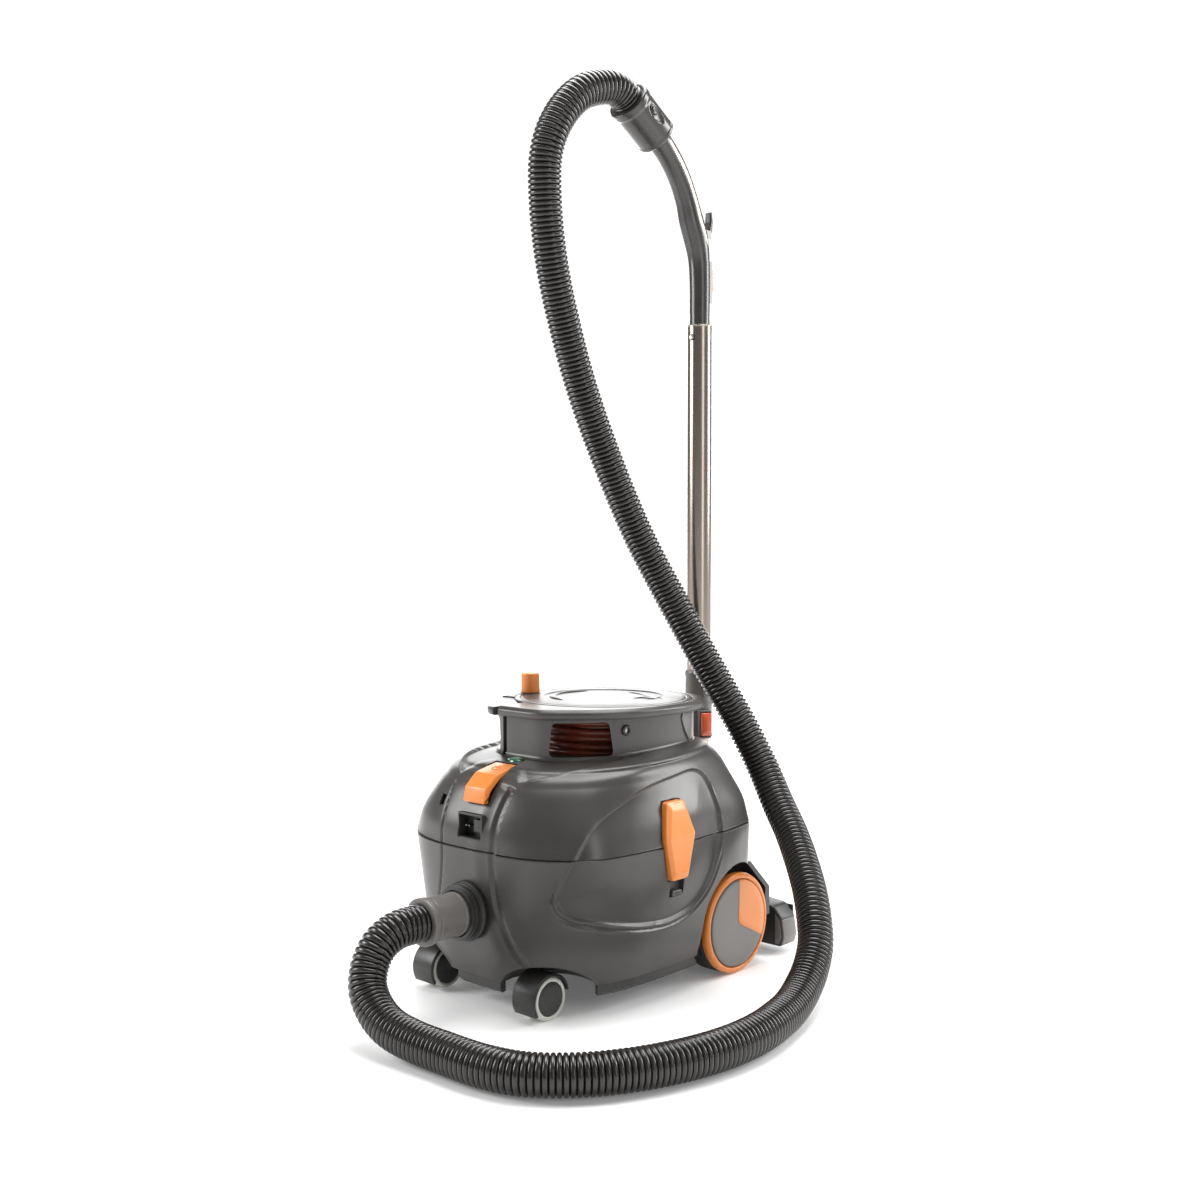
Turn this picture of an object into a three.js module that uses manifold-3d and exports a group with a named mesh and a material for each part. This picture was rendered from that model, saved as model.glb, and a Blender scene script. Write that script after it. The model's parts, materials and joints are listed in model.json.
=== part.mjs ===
// Commercial canister vacuum cleaner: tub, lift-off head with a hand-wound cable drum, parked
// wand, floor tool and free suction hose. Millimetres, +Z up, inlet faces -Y.
import * as THREE from 'three';
import { mergeVertices } from 'three/addons/utils/BufferGeometryUtils.js';
import Module from 'manifold-3d';

const wasm = await Module();
wasm.setup();

// ---- driving dimensions ----
const SHIFT_Y = 3.5;             // centres the footprint of everything but the hose on the origin
const GAP = 0.4;                 // air left between touching parts
const SEAM_Z = 193.7;            // parting line between tub and head
const SHELL_T = 5;               // moulded wall thickness
const TUB_BOTTOM = 37;
const ARCH = { y: 128.6, z: 66, r: 79, x: 106 };       // rear wheel arch
const WHEEL = { y: 128.6, z: 66, r: 66, x0: 116, x1: 161 };
const CASTER = { x: 91, y: -169, z: 26, r: 26, trail: 12 };
const CASTER_WELL = { r: 58, h: 37, z: 30 };            // bowl in the tub floor over each caster
const SPIGOT = { outer: 13, bore: 7.4, z0: 59, z1: 70 }; // caster pivot socket inside the tub
const INLET = { z: 119, r: 34, y: -203 };
const DISC = { y: 41.5, r: 118.6, z: 359 };            // winding disc in the lid
const REEL = { r: 97, hub: 34, z0: 287, z1: 343.2, flange: 2.4 };
const LID = { z0: 346.4, z1: 359 };
const NECK = { z0: 278, z1: 346, wall: 4 };
const WINDOW = { x: 70, y: -76, half: 41, z0: 301, z1: 341, turn: 48 };  // cable windows in the neck
const SLIT = { x: -31, half: 4 };                        // cable outlet in the front of the neck
const NECK_SCREW = { x: 96.6, y: -25, z: 330 };
const WAND = { y: 246, r: 17.5, top: 876, collarTop: 382, collarBottom: 284, snapZ: 858 };
const HOSE_D = 45;
const TOOL = { z: 98, y: 246, half: 156 };
const PEDAL_AXIS = [0, -12, -52];

// ---- geometry helpers ----
const V = (x, y, z) => new THREE.Vector3(x, y, z);

// Manifold solid from a three.js geometry
function solid(geometry) {
  let g = geometry.clone();
  g.deleteAttribute('normal');
  g.deleteAttribute('uv');
  g = mergeVertices(g, 1e-4);
  return new wasm.Manifold(new wasm.Mesh({
    numProp: 3,
    vertProperties: new Float32Array(g.attributes.position.array),
    triVerts: new Uint32Array(g.index.array),
  }));
}

// three.js geometry from a Manifold solid
function geom(manifold) {
  const mesh = manifold.getMesh();
  const g = new THREE.BufferGeometry();
  g.setAttribute('position', new THREE.BufferAttribute(mesh.vertProperties, 3));
  g.setIndex(new THREE.BufferAttribute(mesh.triVerts, 1));
  return g;
}

const box = (x0, x1, y0, y1, z0, z1) => solid(new THREE.BoxGeometry(x1 - x0, y1 - y0, z1 - z0)
  .translate((x0 + x1) / 2, (y0 + y1) / 2, (z0 + z1) / 2));

// Surface of revolution about Z through [r, z] points, closed on the axis or on itself
function lathe(points, seg = 20) {
  return solid(new THREE.LatheGeometry(points.map(([r, z]) => new THREE.Vector2(r, z)), seg)
    .rotateX(Math.PI / 2));
}

const rod = (r, z0, z1, seg = 20) => lathe([[0, z0], [r, z0], [r, z1], [0, z1]], seg);
const ring = (r0, r1, z0, z1, seg = 24) =>
  lathe([[r0, z0], [r1, z0], [r1, z1], [r0, z1], [r0, z0]], seg);
const alongX = (m) => m.rotate([0, 90, 0]);
const alongY = (m) => m.rotate([90, 0, 0]);             // +Z of the piece turns to -Y

// Prism: 2-D [a, b] outline in the plane normal to `axis`, extruded from lo to hi
function prism(outline, lo, hi, axis = 'z') {
  const shape = new THREE.Shape(outline.map(([a, b]) => new THREE.Vector2(a, b)));
  const g = new THREE.ExtrudeGeometry(shape, { depth: hi - lo, bevelEnabled: false });
  g.translate(0, 0, lo);
  const m = solid(g);
  if (axis === 'x') return m.rotate([90, 0, 90]);        // a -> y, b -> z
  if (axis === 'y') return m.rotate([90, 0, 0]).scale([1, -1, 1]);   // a -> x, b -> z
  return m;
}

// Round tube along a smooth path of [x, y, z] points
function sweep(points, r, inner, steps, seg) {
  const curve = new THREE.CatmullRomCurve3(points.map((p) => V(...p)), false, 'centripetal');
  const circle = (rr) => Array.from({ length: seg }, (_, i) => new THREE.Vector2(
    rr * Math.cos((2 * Math.PI * i) / seg), rr * Math.sin((2 * Math.PI * i) / seg)));
  const shape = new THREE.Shape(circle(r));
  shape.holes.push(new THREE.Path(circle(inner)));
  return new THREE.ExtrudeGeometry(shape, { steps, extrudePath: curve, bevelEnabled: false });
}

// Plan outline: right-hand half points from front centre to rear centre, mirrored, and read as
// a radius for each of `n` directions about (0, cy)
function outline(half, n = 40, cy = 0) {
  const left = half.slice(1, -1).reverse().map(([x, y]) => [-x, y]);
  const loop = [...half, ...left].map(([x, y]) => V(x, y, 0));
  const fine = new THREE.CatmullRomCurve3(loop, true, 'centripetal').getPoints(720);
  const polar = fine.map((p) => [Math.atan2(p.y - cy, p.x), Math.hypot(p.x, p.y - cy)])
    .sort((a, b) => a[0] - b[0]);
  const at = (angle) => {
    let k = polar.findIndex((p) => p[0] >= angle);
    if (k < 0) k = 0;
    const hi = polar[k];
    const lo = polar[(k + polar.length - 1) % polar.length];
    let span = hi[0] - lo[0];
    let part = angle - lo[0];
    if (span < 0) span += 2 * Math.PI;
    if (part < 0) part += 2 * Math.PI;
    return span > 1e-9 ? lo[1] + (hi[1] - lo[1]) * Math.min(1, part / span) : hi[1];
  };
  const out = [];
  for (let i = 0; i < n; i++) {
    const a = -Math.PI + (2 * Math.PI * (i + 0.5)) / n;
    const r = at(a);
    out.push([r * Math.cos(a), cy + r * Math.sin(a)]);
  }
  return out;
}

// Move an outline inwards by d along its own normals
function inset(loop, d) {
  const n = loop.length;
  return loop.map(([x, y], i) => {
    const [ax, ay] = loop[(i + n - 1) % n];
    const [bx, by] = loop[(i + 1) % n];
    const l = Math.hypot(bx - ax, by - ay);
    return [x - (d * (by - ay)) / l, y + (d * (bx - ax)) / l];
  });
}

// Solid skinned over [{ z, loop }] levels, bottom to top; lift(x, y, z) may bend the heights
function loft(levels, lift = (x, y, z) => z) {
  const n = levels[0].loop.length;
  const pos = [];
  const idx = [];
  levels.forEach(({ z, loop }) => loop.forEach(([x, y]) => pos.push(x, y, lift(x, y, z))));
  for (let k = 0; k + 1 < levels.length; k++) {
    for (let i = 0; i < n; i++) {
      const a = k * n + i;
      const b = k * n + ((i + 1) % n);
      idx.push(a, b, b + n, a, b + n, a + n);
    }
  }
  const cap = (k, up) => {
    const { z, loop } = levels[k];
    const c = pos.length / 3;
    const cy = loop.reduce((s, p) => s + p[1], 0) / n;
    pos.push(0, cy, lift(0, cy, z));
    for (let i = 0; i < n; i++) {
      const a = k * n + i;
      const b = k * n + ((i + 1) % n);
      if (up) idx.push(c, a, b); else idx.push(c, b, a);
    }
  };
  cap(0, false);
  cap(levels.length - 1, true);
  const g = new THREE.BufferGeometry();
  g.setAttribute('position', new THREE.Float32BufferAttribute(pos, 3));
  g.setIndex(idx);
  return solid(g);
}

// Values between tabled levels, so a skin can be cut at any height
function between(table, z) {
  let k = 0;
  while (k + 2 < table.length && table[k + 1].z < z) k++;
  const a = table[k];
  const b = table[k + 1];
  const t = (z - a.z) / (b.z - a.z);
  return { z, loop: a.loop.map(([x, y], i) => [x + (b.loop[i][0] - x) * t, y + (b.loop[i][1] - y) * t]) };
}

const group = new THREE.Group();
group.name = 'canister_vacuum';
const add = (name, thing, color, rough = 0.6, metal = 0) => {
  const g = thing.isBufferGeometry ? thing : geom(thing);
  g.translate(0, SHIFT_Y, 0);
  const mesh = new THREE.Mesh(g, new THREE.MeshStandardMaterial({
    color, roughness: rough, metalness: metal,
  }));
  mesh.name = name;
  group.add(mesh);
};

const GREY = '#5c5854';
const ORANGE = '#f09a55';
const BLACK = '#262422';
const STEEL = '#b9b2aa';

// ---- body skins ----
const TUB_TABLE = [
  { z: TUB_BOTTOM, half: [[0, -190], [50, -189], [84, -178], [109, -156], [132, -126], [146, -85],
    [150, -30], [150, 40], [147, 100], [142, 138], [130, 165], [105, 183], [60, 191], [0, 192]] },
  { z: 54, half: [[0, -195], [51, -194], [88, -182], [115, -160], [139, -131], [154, -88],
    [158, -34], [158, 40], [155, 100], [149, 138], [137, 167], [110, 186], [64, 194], [0, 196]] },
  { z: 110, half: [[0, -201], [52, -200], [92, -188], [120, -167], [145, -140], [162, -92],
    [167, -38], [166, 40], [162, 100], [155, 140], [144, 168], [119, 188], [70, 197], [0, 199]] },
  { z: SEAM_Z, half: [[0, -204], [52, -203], [97, -193], [129, -174], [156, -146], [169, -94],
    [173, -38], [171, 40], [167, 100], [159, 141], [149, 170], [126, 190], [76, 200], [0, 201]] },
].map(({ z, half }) => ({ z, loop: outline(half) }));

const HEAD_TABLE = [
  { z: SEAM_Z, half: [[0, -204], [52, -203], [97, -193], [129, -174], [156, -146], [169, -94],
    [173, -38], [171, 40], [167, 100], [159, 141], [149, 170], [126, 190], [76, 200], [0, 201]] },
  { z: 226, half: [[0, -200], [51, -199], [92, -187], [123, -168], [149, -139], [163, -90],
    [167, -36], [166, 40], [160, 98], [152, 138], [140, 166], [117, 186], [70, 197], [0, 198]] },
  { z: 252, half: [[0, -190], [48, -189], [86, -177], [115, -156], [139, -128], [154, -82],
    [159, -32], [157, 40], [150, 96], [140, 132], [126, 159], [103, 178], [60, 188], [0, 191]] },
  { z: 274, half: [[0, -176], [44, -175], [79, -163], [108, -141], [130, -112], [146, -72],
    [151, -26], [149, 40], [141, 92], [130, 126], [114, 151], [90, 169], [52, 180], [0, 183]] },
  { z: 289, half: [[0, -158], [41, -157], [72, -146], [100, -125], [121, -97], [137, -60],
    [142, -18], [140, 40], [131, 88], [119, 119], [102, 142], [79, 158], [44, 168], [0, 171]] },
  { z: 297, half: [[0, -136], [37, -134], [66, -122], [91, -102], [110, -77], [124, -44],
    [130, -8], [128, 42], [120, 84], [108, 112], [91, 132], [68, 147], [38, 156], [0, 158]] },
  { z: 299.4, half: [[0, -112], [34, -111], [58, -100], [78, -82], [92, -60], [104, -30],
    [109, 0], [110, 42], [105, 80], [96, 104], [80, 124], [58, 137], [30, 144], [0, 145]] },
].map(({ z, half }) => ({ z, loop: outline(half) }));
// the shoulder climbs towards the back
const rise = (x, y, z) => z + Math.max(0, (z - SEAM_Z) / 104) * 0.034 * (y + 10);

const NECK_HALF = [[0, -112], [34, -110], [58, -98], [80, -72], [95, -40], [103, 0], [106, 42],
  [103, 82], [94, 112], [78, 134], [52, 152], [26, 159], [0, 161]];
const LID_HALF = [[0, -124], [42, -121], [70, -98], [97, -70], [117, -36], [125, 0], [128, 41],
  [125, 78], [116, 108], [98, 136], [68, 157], [34, 167], [0, 169]];
const neckLoop = outline(NECK_HALF, 40, 30);
const lidLoop = outline(LID_HALF, 40, 30);

const both = (make) => [1, -1].map(make);
const union = (list) => list.reduce((a, b) => a.add(b));

// ---- tub ----
const archCut = (extra) => union(both((s) => alongX(rod(ARCH.r + extra, 0, 90, 32))
  .translate([s > 0 ? ARCH.x - extra : -ARCH.x - 90 + extra, ARCH.y, ARCH.z])));
const casterCut = (extra) => union(both((s) => solid(new THREE.SphereGeometry(1, 24, 12)
  .rotateX(Math.PI / 2).scale(CASTER_WELL.r + extra, CASTER_WELL.r + extra, CASTER_WELL.h + extra)
  .translate(s * CASTER.x, CASTER.y + CASTER.trail, CASTER_WELL.z))));
const latchPocket = both((s) => box(s > 0 ? 164 : -190, s > 0 ? 190 : -164, -22, 6, 129, 155));
const tubOuter = loft([TUB_TABLE[0], TUB_TABLE[1], between(TUB_TABLE, 80), TUB_TABLE[2],
  between(TUB_TABLE, 152), TUB_TABLE[3]]);
const tubInner = loft([TUB_BOTTOM + SHELL_T, 56, 110, SEAM_Z + 1].map((z) => ({
  z, loop: inset(between(TUB_TABLE, Math.min(z, SEAM_Z)).loop, SHELL_T),
})));
let tub = tubOuter.subtract(archCut(0)).subtract(casterCut(0));
tub = tub.subtract(tubInner.subtract(archCut(SHELL_T)).subtract(casterCut(4)));
const overCasters = (m) => union(both((s) => m.translate([s * CASTER.x, CASTER.y + CASTER.trail, 0])));
tub = tub.add(overCasters(rod(SPIGOT.outer, SPIGOT.z0, SPIGOT.z1)));
tub = tub.subtract(overCasters(rod(SPIGOT.bore, 50, SPIGOT.z1 - 3.5)));
tub = tub.subtract(alongY(rod(28, 170, 230, 28)).translate([0, 0, INLET.z]));
tub = tub.add(union(both((s) => box(s > 0 ? 158 : -167, s > 0 ? 167 : -158, -27, 11, 124, 160))));
tub = tub.subtract(union(latchPocket));
add('tub_shell', tub, GREY);

const rimOuter = inset(TUB_TABLE[3].loop, SHELL_T + 2);
const rimInner = inset(TUB_TABLE[3].loop, SHELL_T + 6);
add('tub_seal', loft([{ z: 187, loop: rimOuter }, { z: SEAM_Z - 0.3, loop: rimOuter }])
  .subtract(loft([{ z: 186, loop: rimInner }, { z: SEAM_Z + 1, loop: rimInner }])), BLACK);

// chassis skid with wheel-arch clearance and rear bumper
const baseLoop = inset(TUB_TABLE[0].loop, 5);
let base = loft([{ z: 20, loop: inset(baseLoop, 6) }, { z: 25, loop: baseLoop },
  { z: TUB_BOTTOM - GAP, loop: baseLoop }]);
base = base.subtract(overCasters(rod(CASTER_WELL.r + 2, 0, 80, 32)));
base = base.subtract(loft([{ z: 10, loop: inset(baseLoop, 14) }, { z: 32, loop: inset(baseLoop, 14) }]));
base = base.subtract(archCut(0));
const bumper = prism([[-104, 26], [104, 26], [150, 60], [150, 98], [118, 127], [-118, 127],
  [-150, 98], [-150, 60]], 203.5, 213, 'y');
base = base.add(box(-100, 100, 170, 212, 25, TUB_BOTTOM - GAP)).add(bumper);
add('chassis_base', base, BLACK);

// bracket on the bumper that takes the hook of the parked floor tool
add('park_bracket', box(-26, 26, 213.4, 222, 98, 124)
  .subtract(box(-12.5, 12.5, 216, 230, 102, 130)), BLACK);

// ---- inlet ----
const inletTurn = (profile, seg = 24) => alongY(lathe(profile, seg)).translate([0, 0, INLET.z]);
add('inlet_collar', inletTurn([[28.2, 206], [34.3, 206], [34.3, 211], [32, 212], [32, 216], [33.4, 217],
  [33.4, 221], [30.4, 223], [28.2, 223], [28.2, 206]]), BLACK, 0.5);
add('hose_connector', inletTurn([[20, 186], [26.6, 186], [26.6, 224], [27, 226], [27.3, 268], [28.6, 269],
  [28.6, 277.5], [20, 277.5], [20, 186]]), '#8b8580', 0.4);

// ---- dust bag ----
const bagLoop = outline([[0, -150], [60, -146], [88, -110], [92, -40], [88, 60], [80, 120], [50, 140],
  [0, 146]], 24);
const bagSkin = (t) => loft([[72 + t, 26], [82 + t, 9], [106, 0], [135, 0], [160 - t, 9], [170 - t, 28]]
  .map(([z, d]) => ({ z, loop: inset(bagLoop, d + t) })));
add('dust_bag', bagSkin(0).add(alongY(rod(19.4, 140, 181)).translate([0, 0, INLET.z]))
  .subtract(bagSkin(3)).subtract(alongY(rod(16.4, 130, 190)).translate([0, 0, INLET.z])), '#d9cfb8', 0.9);
add('bag_collar', box(-48, 48, -185.4, -181.4, 72, 168)
  .subtract(alongY(rod(19.8, 170, 200)).translate([0, 0, INLET.z])), '#b99b6b', 0.9);

// ---- wheels ----
both((s) => {
  const side = s > 0 ? 'r' : 'l';
  const turnX = (profile, seg) => {
    const m = alongX(lathe(profile, seg));
    return (s > 0 ? m : m.scale([-1, 1, 1])).translate([0, WHEEL.y, WHEEL.z]);
  };
  add(`rear_axle_${side}`, turnX([[0, 106.4], [9, 106.4], [9, 115], [6, 115], [6, 152], [0, 152]], 20),
    STEEL, 0.3, 1);
  add(`rear_tyre_${side}`, turnX([[40, 116.5], [62, 116.5], [66, 120], [66, 146], [64, 149.6],
    [40, 149.6], [40, 116.5]], 28), '#1b1a19', 0.8);
  add(`rear_rim_${side}`, turnX([[6.5, 118], [39.6, 118], [39.6, 150], [65.2, 150], [65.2, 157.5],
    [63, 161], [59, 161], [57.5, 156], [0, 156], [0, 153], [6.5, 153], [6.5, 118]], 28), ORANGE, 0.45);
  add(`rear_cap_${side}`, turnX([[0, 156.4], [56.8, 156.4], [58, 160.2], [50, 161.6], [24, 160.4],
    [0, 159.6]], 28), '#78706c', 0.5);
  return s;
});

// twin-wheel swivel casters
both((s) => {
  const side = s > 0 ? 'r' : 'l';
  const put = (m) => m.translate([s * CASTER.x, CASTER.y, CASTER.z]);
  // fender over the twin wheels, reaching low in front
  const cover = alongX(ring(27.4, 30.4, -19, 19, 24)).subtract(box(-30, 30, 0, 40, -40, 7))
    .subtract(box(-30, 30, -40, 0, -40, -16));
  let yoke = box(-4, 4, -18, 20, -8, 28).add(cover);
  yoke = yoke.add(box(-6, 6, 6, 18, 27, 32.2)).add(rod(7, 30, 39.6).translate([0, CASTER.trail, 0]));
  yoke = yoke.add(alongX(rod(4, -17, 17, 16)));
  add(`caster_yoke_${side}`, put(yoke), BLACK, 0.5);
  [['out', s], ['in', -s]].forEach(([which, d]) => {
    const m = alongX(lathe([[4.4, 4.6], [24.4, 4.6], [CASTER.r, 7], [CASTER.r, 15.5], [24, 18.2],
      [4.4, 17.4], [4.4, 4.6]], 20));
    add(`caster_wheel_${side}_${which}`, put(d > 0 ? m : m.scale([-1, 1, 1])), '#b9beb4', 0.6);
  });
  return s;
});

// ---- head ----
const headSkin = (grow) => loft([{ z: SEAM_Z + GAP, loop: HEAD_TABLE[0].loop }, HEAD_TABLE[1],
  ...HEAD_TABLE.slice(2)].map(({ z, loop }) => ({ z: z + grow, loop: inset(loop, -grow) })), rise);
const headInner = loft([{ z: SEAM_Z - 2, loop: inset(HEAD_TABLE[0].loop, SHELL_T) },
  ...[226, 252].map((z) => ({ z, loop: inset(between(HEAD_TABLE, z).loop, SHELL_T + 0.5) })),
  { z: 269, loop: inset(between(HEAD_TABLE, 269).loop, 7) },
  { z: 279, loop: inset(between(HEAD_TABLE, 279).loop, 13) }], rise);
const BUTTON = {
  x0: -17, x1: 22,
  outer: [[-196.5, 250], [-192.5, 268], [-175, 283.5], [-141, 291.5]],
  inner: [[-141, 284], [-168, 276], [-184, 262], [-188, 250]],
};
const LAMP = { x: 4, y: -126, rx: 13, ry: 8, z: 290.4 };
const LATCH_PIN = [154, 0, 242];
const PRESS_ROOM = 2.9;          // air behind the power button, which travels towards +Y
const SINK_ROOM = 3.4;
let hood = headSkin(0).subtract(headInner);
hood = hood.subtract(rod(102, 285, 340, 36).translate([0, DISC.y, 0]));
hood = hood.subtract(prism([[-215, 249.2], [-215, 310], [-138, 310],
  ...BUTTON.inner.map(([y, z], i) => [y + PRESS_ROOM + (i ? 0 : 0.2), i === 3 ? 249.2 : z - SINK_ROOM]),
], BUTTON.x0 - GAP, BUTTON.x1 + GAP, 'x'));
hood = hood.subtract(box(-20, 24, -215, -178, 205, 238));
hood = hood.subtract(solid(new THREE.CylinderGeometry(1, 1, 20, 24).rotateX(Math.PI / 2)
  .scale(LAMP.rx + GAP, LAMP.ry + GAP, 1).translate(LAMP.x, LAMP.y, 296)));
hood = hood.subtract(box(-56, 56, 150, 215, 206.2, 246.6));
both((s) => {
  const at = (m) => (s > 0 ? m : m.scale([-1, 1, 1]));
  hood = hood.add(at(box(143, 175, -19, 3, 229, 257)).intersect(headSkin(0)));
  hood = hood.subtract(at(box(148.6, 185, -15, -1, 234, 253)));
  hood = hood.add(at(rod(2, 0.5, 15.5, 12).rotate([90, 0, 0]).translate(LATCH_PIN)));
  return s;
});
add('hood_shell', hood, GREY);

add('indicator_lamp', solid(new THREE.CylinderGeometry(1, 1, 5, 24).rotateX(Math.PI / 2)
  .scale(LAMP.rx, LAMP.ry, 1).translate(LAMP.x, LAMP.y, LAMP.z)), '#145a3c', 0.2);
add('power_button', prism([...BUTTON.outer, ...BUTTON.inner], BUTTON.x0, BUTTON.x1, 'x'), ORANGE, 0.45);
add('power_socket', box(-19.6, 23.6, -200, -184, 205.4, 237.6)
  .subtract(box(-14, 18, -210, -186.5, 211, 233)), '#171615', 0.5);

// motor deck, motor with fan chamber, fan, exhaust filter and door
const deckLoop = inset(HEAD_TABLE[0].loop, SHELL_T + 3.6);
add('motor_deck', loft([{ z: 196, loop: deckLoop }, { z: 201, loop: deckLoop }])
  .subtract(rod(40, 180, 220, 32)), BLACK);
add('fan_motor', lathe([[0, 229], [60, 229], [60, 201.4], [66, 201.4], [66, 232], [63, 234], [45, 234],
  [45, 262], [12, 262], [12, 264], [0, 264]], 24).subtract(rod(4.5, 220, 246)), '#9a9a9a', 0.4, 0.6);
const blades = union(Array.from({ length: 8 }, (_, i) => box(18, 55, -1.2, 1.2, 205, 224)
  .rotate([0, 0, i * 45])));
add('fan_impeller', rod(56, 222, 225, 36).add(rod(19, 205, 223)).add(rod(4, 224, 244, 16)).add(blades),
  '#a8a8a8', 0.4, 0.7);
add('exhaust_filter', box(-52, 52, 168, 187.8, 209, 245), '#e8e6df', 0.95);
add('exhaust_door', prism([[192.8, 208], [199.6, 208], [195.4, 246], [192.4, 246], [188.8, 242.4]],
  -55.4, 55.4, 'x').add(alongX(rod(2.6, -48, 48, 12)).translate([0, 198.4, 209.6])), '#6a645f');

// latches hang on the head and clasp the tub rim
both((s) => {
  const side = s > 0 ? 'r' : 'l';
  const hex = [[-26, 247], [7, 247], [19, 205], [6, 151], [-25, 151], [-38, 205]];
  const slab = prism([[164.2, 250], [169, 250], [179, 206], [178, 145], [173.6, 145], [173.8, 206]],
    -60, 60, 'y');
  let m = prism(hex, 140, 200, 'x').intersect(slab);
  m = m.add(box(153, 168, -13.6, -2.4, 239, 245)).add(rod(4.4, 2.4, 13.6).rotate([90, 0, 0])
    .translate(LATCH_PIN));
  m = m.subtract(rod(2.4, -5, 30, 16).rotate([90, 0, 0]).translate(LATCH_PIN));
  add(`latch_${side}`, s > 0 ? m : m.scale([-1, 1, 1]), ORANGE, 0.45);
  return s;
});

// ---- cable drum, lid and winding disc ----
const neckOuter = loft([{ z: NECK.z0, loop: inset(neckLoop, -1) }, { z: 312, loop: neckLoop },
  { z: NECK.z1, loop: neckLoop }]);
const neckInner = loft([NECK.z0 - 8, NECK.z1 + 4].map((z) => ({ z, loop: inset(neckLoop, NECK.wall) })));
let neck = neckOuter.subtract(neckInner).subtract(headSkin(GAP));
const windowCut = both((s) => box(-WINDOW.half, WINDOW.half, -30, 30, WINDOW.z0, WINDOW.z1)
  .rotate([0, 0, s * WINDOW.turn]).translate([s * WINDOW.x, WINDOW.y, 0]));
neck = neck.subtract(union(windowCut));
neck = neck.subtract(box(SLIT.x - SLIT.half, SLIT.x + SLIT.half, -130, -90, 292, 350));
neck = neck.subtract(union(both((s) => alongX(rod(3.4, -20, 20, 12))
  .translate([s * 100, NECK_SCREW.y, NECK_SCREW.z]))));
add('drum_housing', neck, GREY);
const neckScrew = (x) => alongX(rod(3, -5, 4, 16)).translate([x, NECK_SCREW.y, NECK_SCREW.z]);
add('neck_screw_r', neckScrew(NECK_SCREW.x), STEEL, 0.3, 1);
add('neck_screw_l', neckScrew(1 - NECK_SCREW.x), STEEL, 0.3, 1);

const guideCut = (g) => prism([[SLIT.x + g, -140], [SLIT.x + g, -78 + g], [-86, -38 + g],
  [-140, -38 + g], [-140, -140]], 340, 365, 'z');
const guideBlock = loft([{ z: LID.z0, loop: inset(lidLoop, -3) }, { z: LID.z0 + 3, loop: inset(lidLoop, -5) },
  { z: LID.z1 - 1.6, loop: inset(lidLoop, -5) }]);
const lidSolid = loft([{ z: LID.z0, loop: inset(lidLoop, 2) }, { z: LID.z0 + 4, loop: lidLoop },
  { z: LID.z1 - 3, loop: lidLoop }, { z: LID.z1, loop: inset(lidLoop, 3) }]);
const discHole = rod(DISC.r + GAP + 0.3, 340, 365, 40).translate([0, DISC.y, 0]);
const discShelf = rod(70, 340, 365, 28).translate([0, DISC.y, 0]);
const upper = box(-200, 200, -200, 250, 350.6, 370);
add('lid_plate', lidSolid.subtract(discHole.intersect(upper)).subtract(discShelf)
  .subtract(guideCut(0)), GREY);
add('cable_guide', guideBlock.intersect(guideCut(-2)).subtract(discHole), GREY);

const disc = (m) => m.translate([0, DISC.y, 0]);
const knobAt = [-97.5, 0.5 - DISC.y];
let plate = lathe([[0, 351], [DISC.r, 351], [DISC.r, 358.4], [DISC.r - 1, 359.2], [96, 360.6], [80, 361],
  [78, 359.4], [0, 359.4]], 40);
plate = plate.add(rod(4, 356, 382, 20).translate([...knobAt, 0]));
plate = plate.subtract(box(42, 80, 8, 29, 354.4, 365)).add(rod(16, 343.6, 352, 24));
add('winding_disc', disc(plate), '#66615c', 0.5);
add('cable_flap', disc(box(42.6, 79.4, 8.6, 27.4, 355.4, 358.8)
  .add(alongX(rod(1.5, 42.6, 79.4, 10)).translate([0, 26, 357]))), '#34312f', 0.5);
add('crank_knob', disc(lathe([[4.4, 361.6], [13, 361.6], [13, 386.6], [11.6, 388], [0, 388], [0, 383],
  [4.4, 383], [4.4, 361.6]], 32).translate([...knobAt, 0])), ORANGE, 0.45);
add('cable_reel', disc(lathe([[0, REEL.z0], [REEL.r, REEL.z0], [REEL.r, REEL.z0 + REEL.flange],
  [REEL.hub, REEL.z0 + REEL.flange], [REEL.hub, REEL.z1 - REEL.flange],
  [REEL.r, REEL.z1 - REEL.flange], [REEL.r, REEL.z1], [0, REEL.z1]], 28)), '#3a3735', 0.6);
const turns = [];
for (let i = 0; i < 4; i++) {
  const z = 290 + i * 12.6;
  turns.push([88.5, z + 0.2], [92, z + 6.3]);
}
add('wound_cable', disc(lathe([[REEL.hub + GAP, 290], ...turns, [88, 340.2], [REEL.hub + GAP, 340.2],
  [REEL.hub + GAP, 290]], 28)), '#9a4a2c', 0.5);

// ---- wand ----
const wand = (m) => m.translate([0, WAND.y, 0]);
add('wand_inner_tube', wand(ring(14, 15.6, 117, 720, 24)), STEEL, 0.25, 1);
add('wand_outer_tube', wand(ring(16.1, WAND.r, 350, WAND.top, 24)
  .subtract(alongY(rod(4.5, 10, 25, 16)).translate([0, 0, WAND.snapZ]))), STEEL, 0.25, 1);
let collar = lathe([[15.9, WAND.collarBottom], [19.6, WAND.collarBottom], [20.4, 287], [20.4, 340],
  [19.6, 380], [17.9, WAND.collarTop], [17.9, 349.6], [15.9, 349.6], [15.9, WAND.collarBottom]], 32);
const RELEASE_TURN = -24;        // the release button faces a little to the side
const turned = (m) => m.rotate([0, 0, RELEASE_TURN]);
collar = collar.add(turned(box(12, 23, -10.6, 10.6, 284, 325)).subtract(rod(15.9, 280, 330, 28)));
collar = collar.subtract(turned(box(18, 30, -8.6, 8.6, 286.6, 322.4)));
add('wand_collar', wand(collar), '#8f8a85', 0.35, 0.7);
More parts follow.
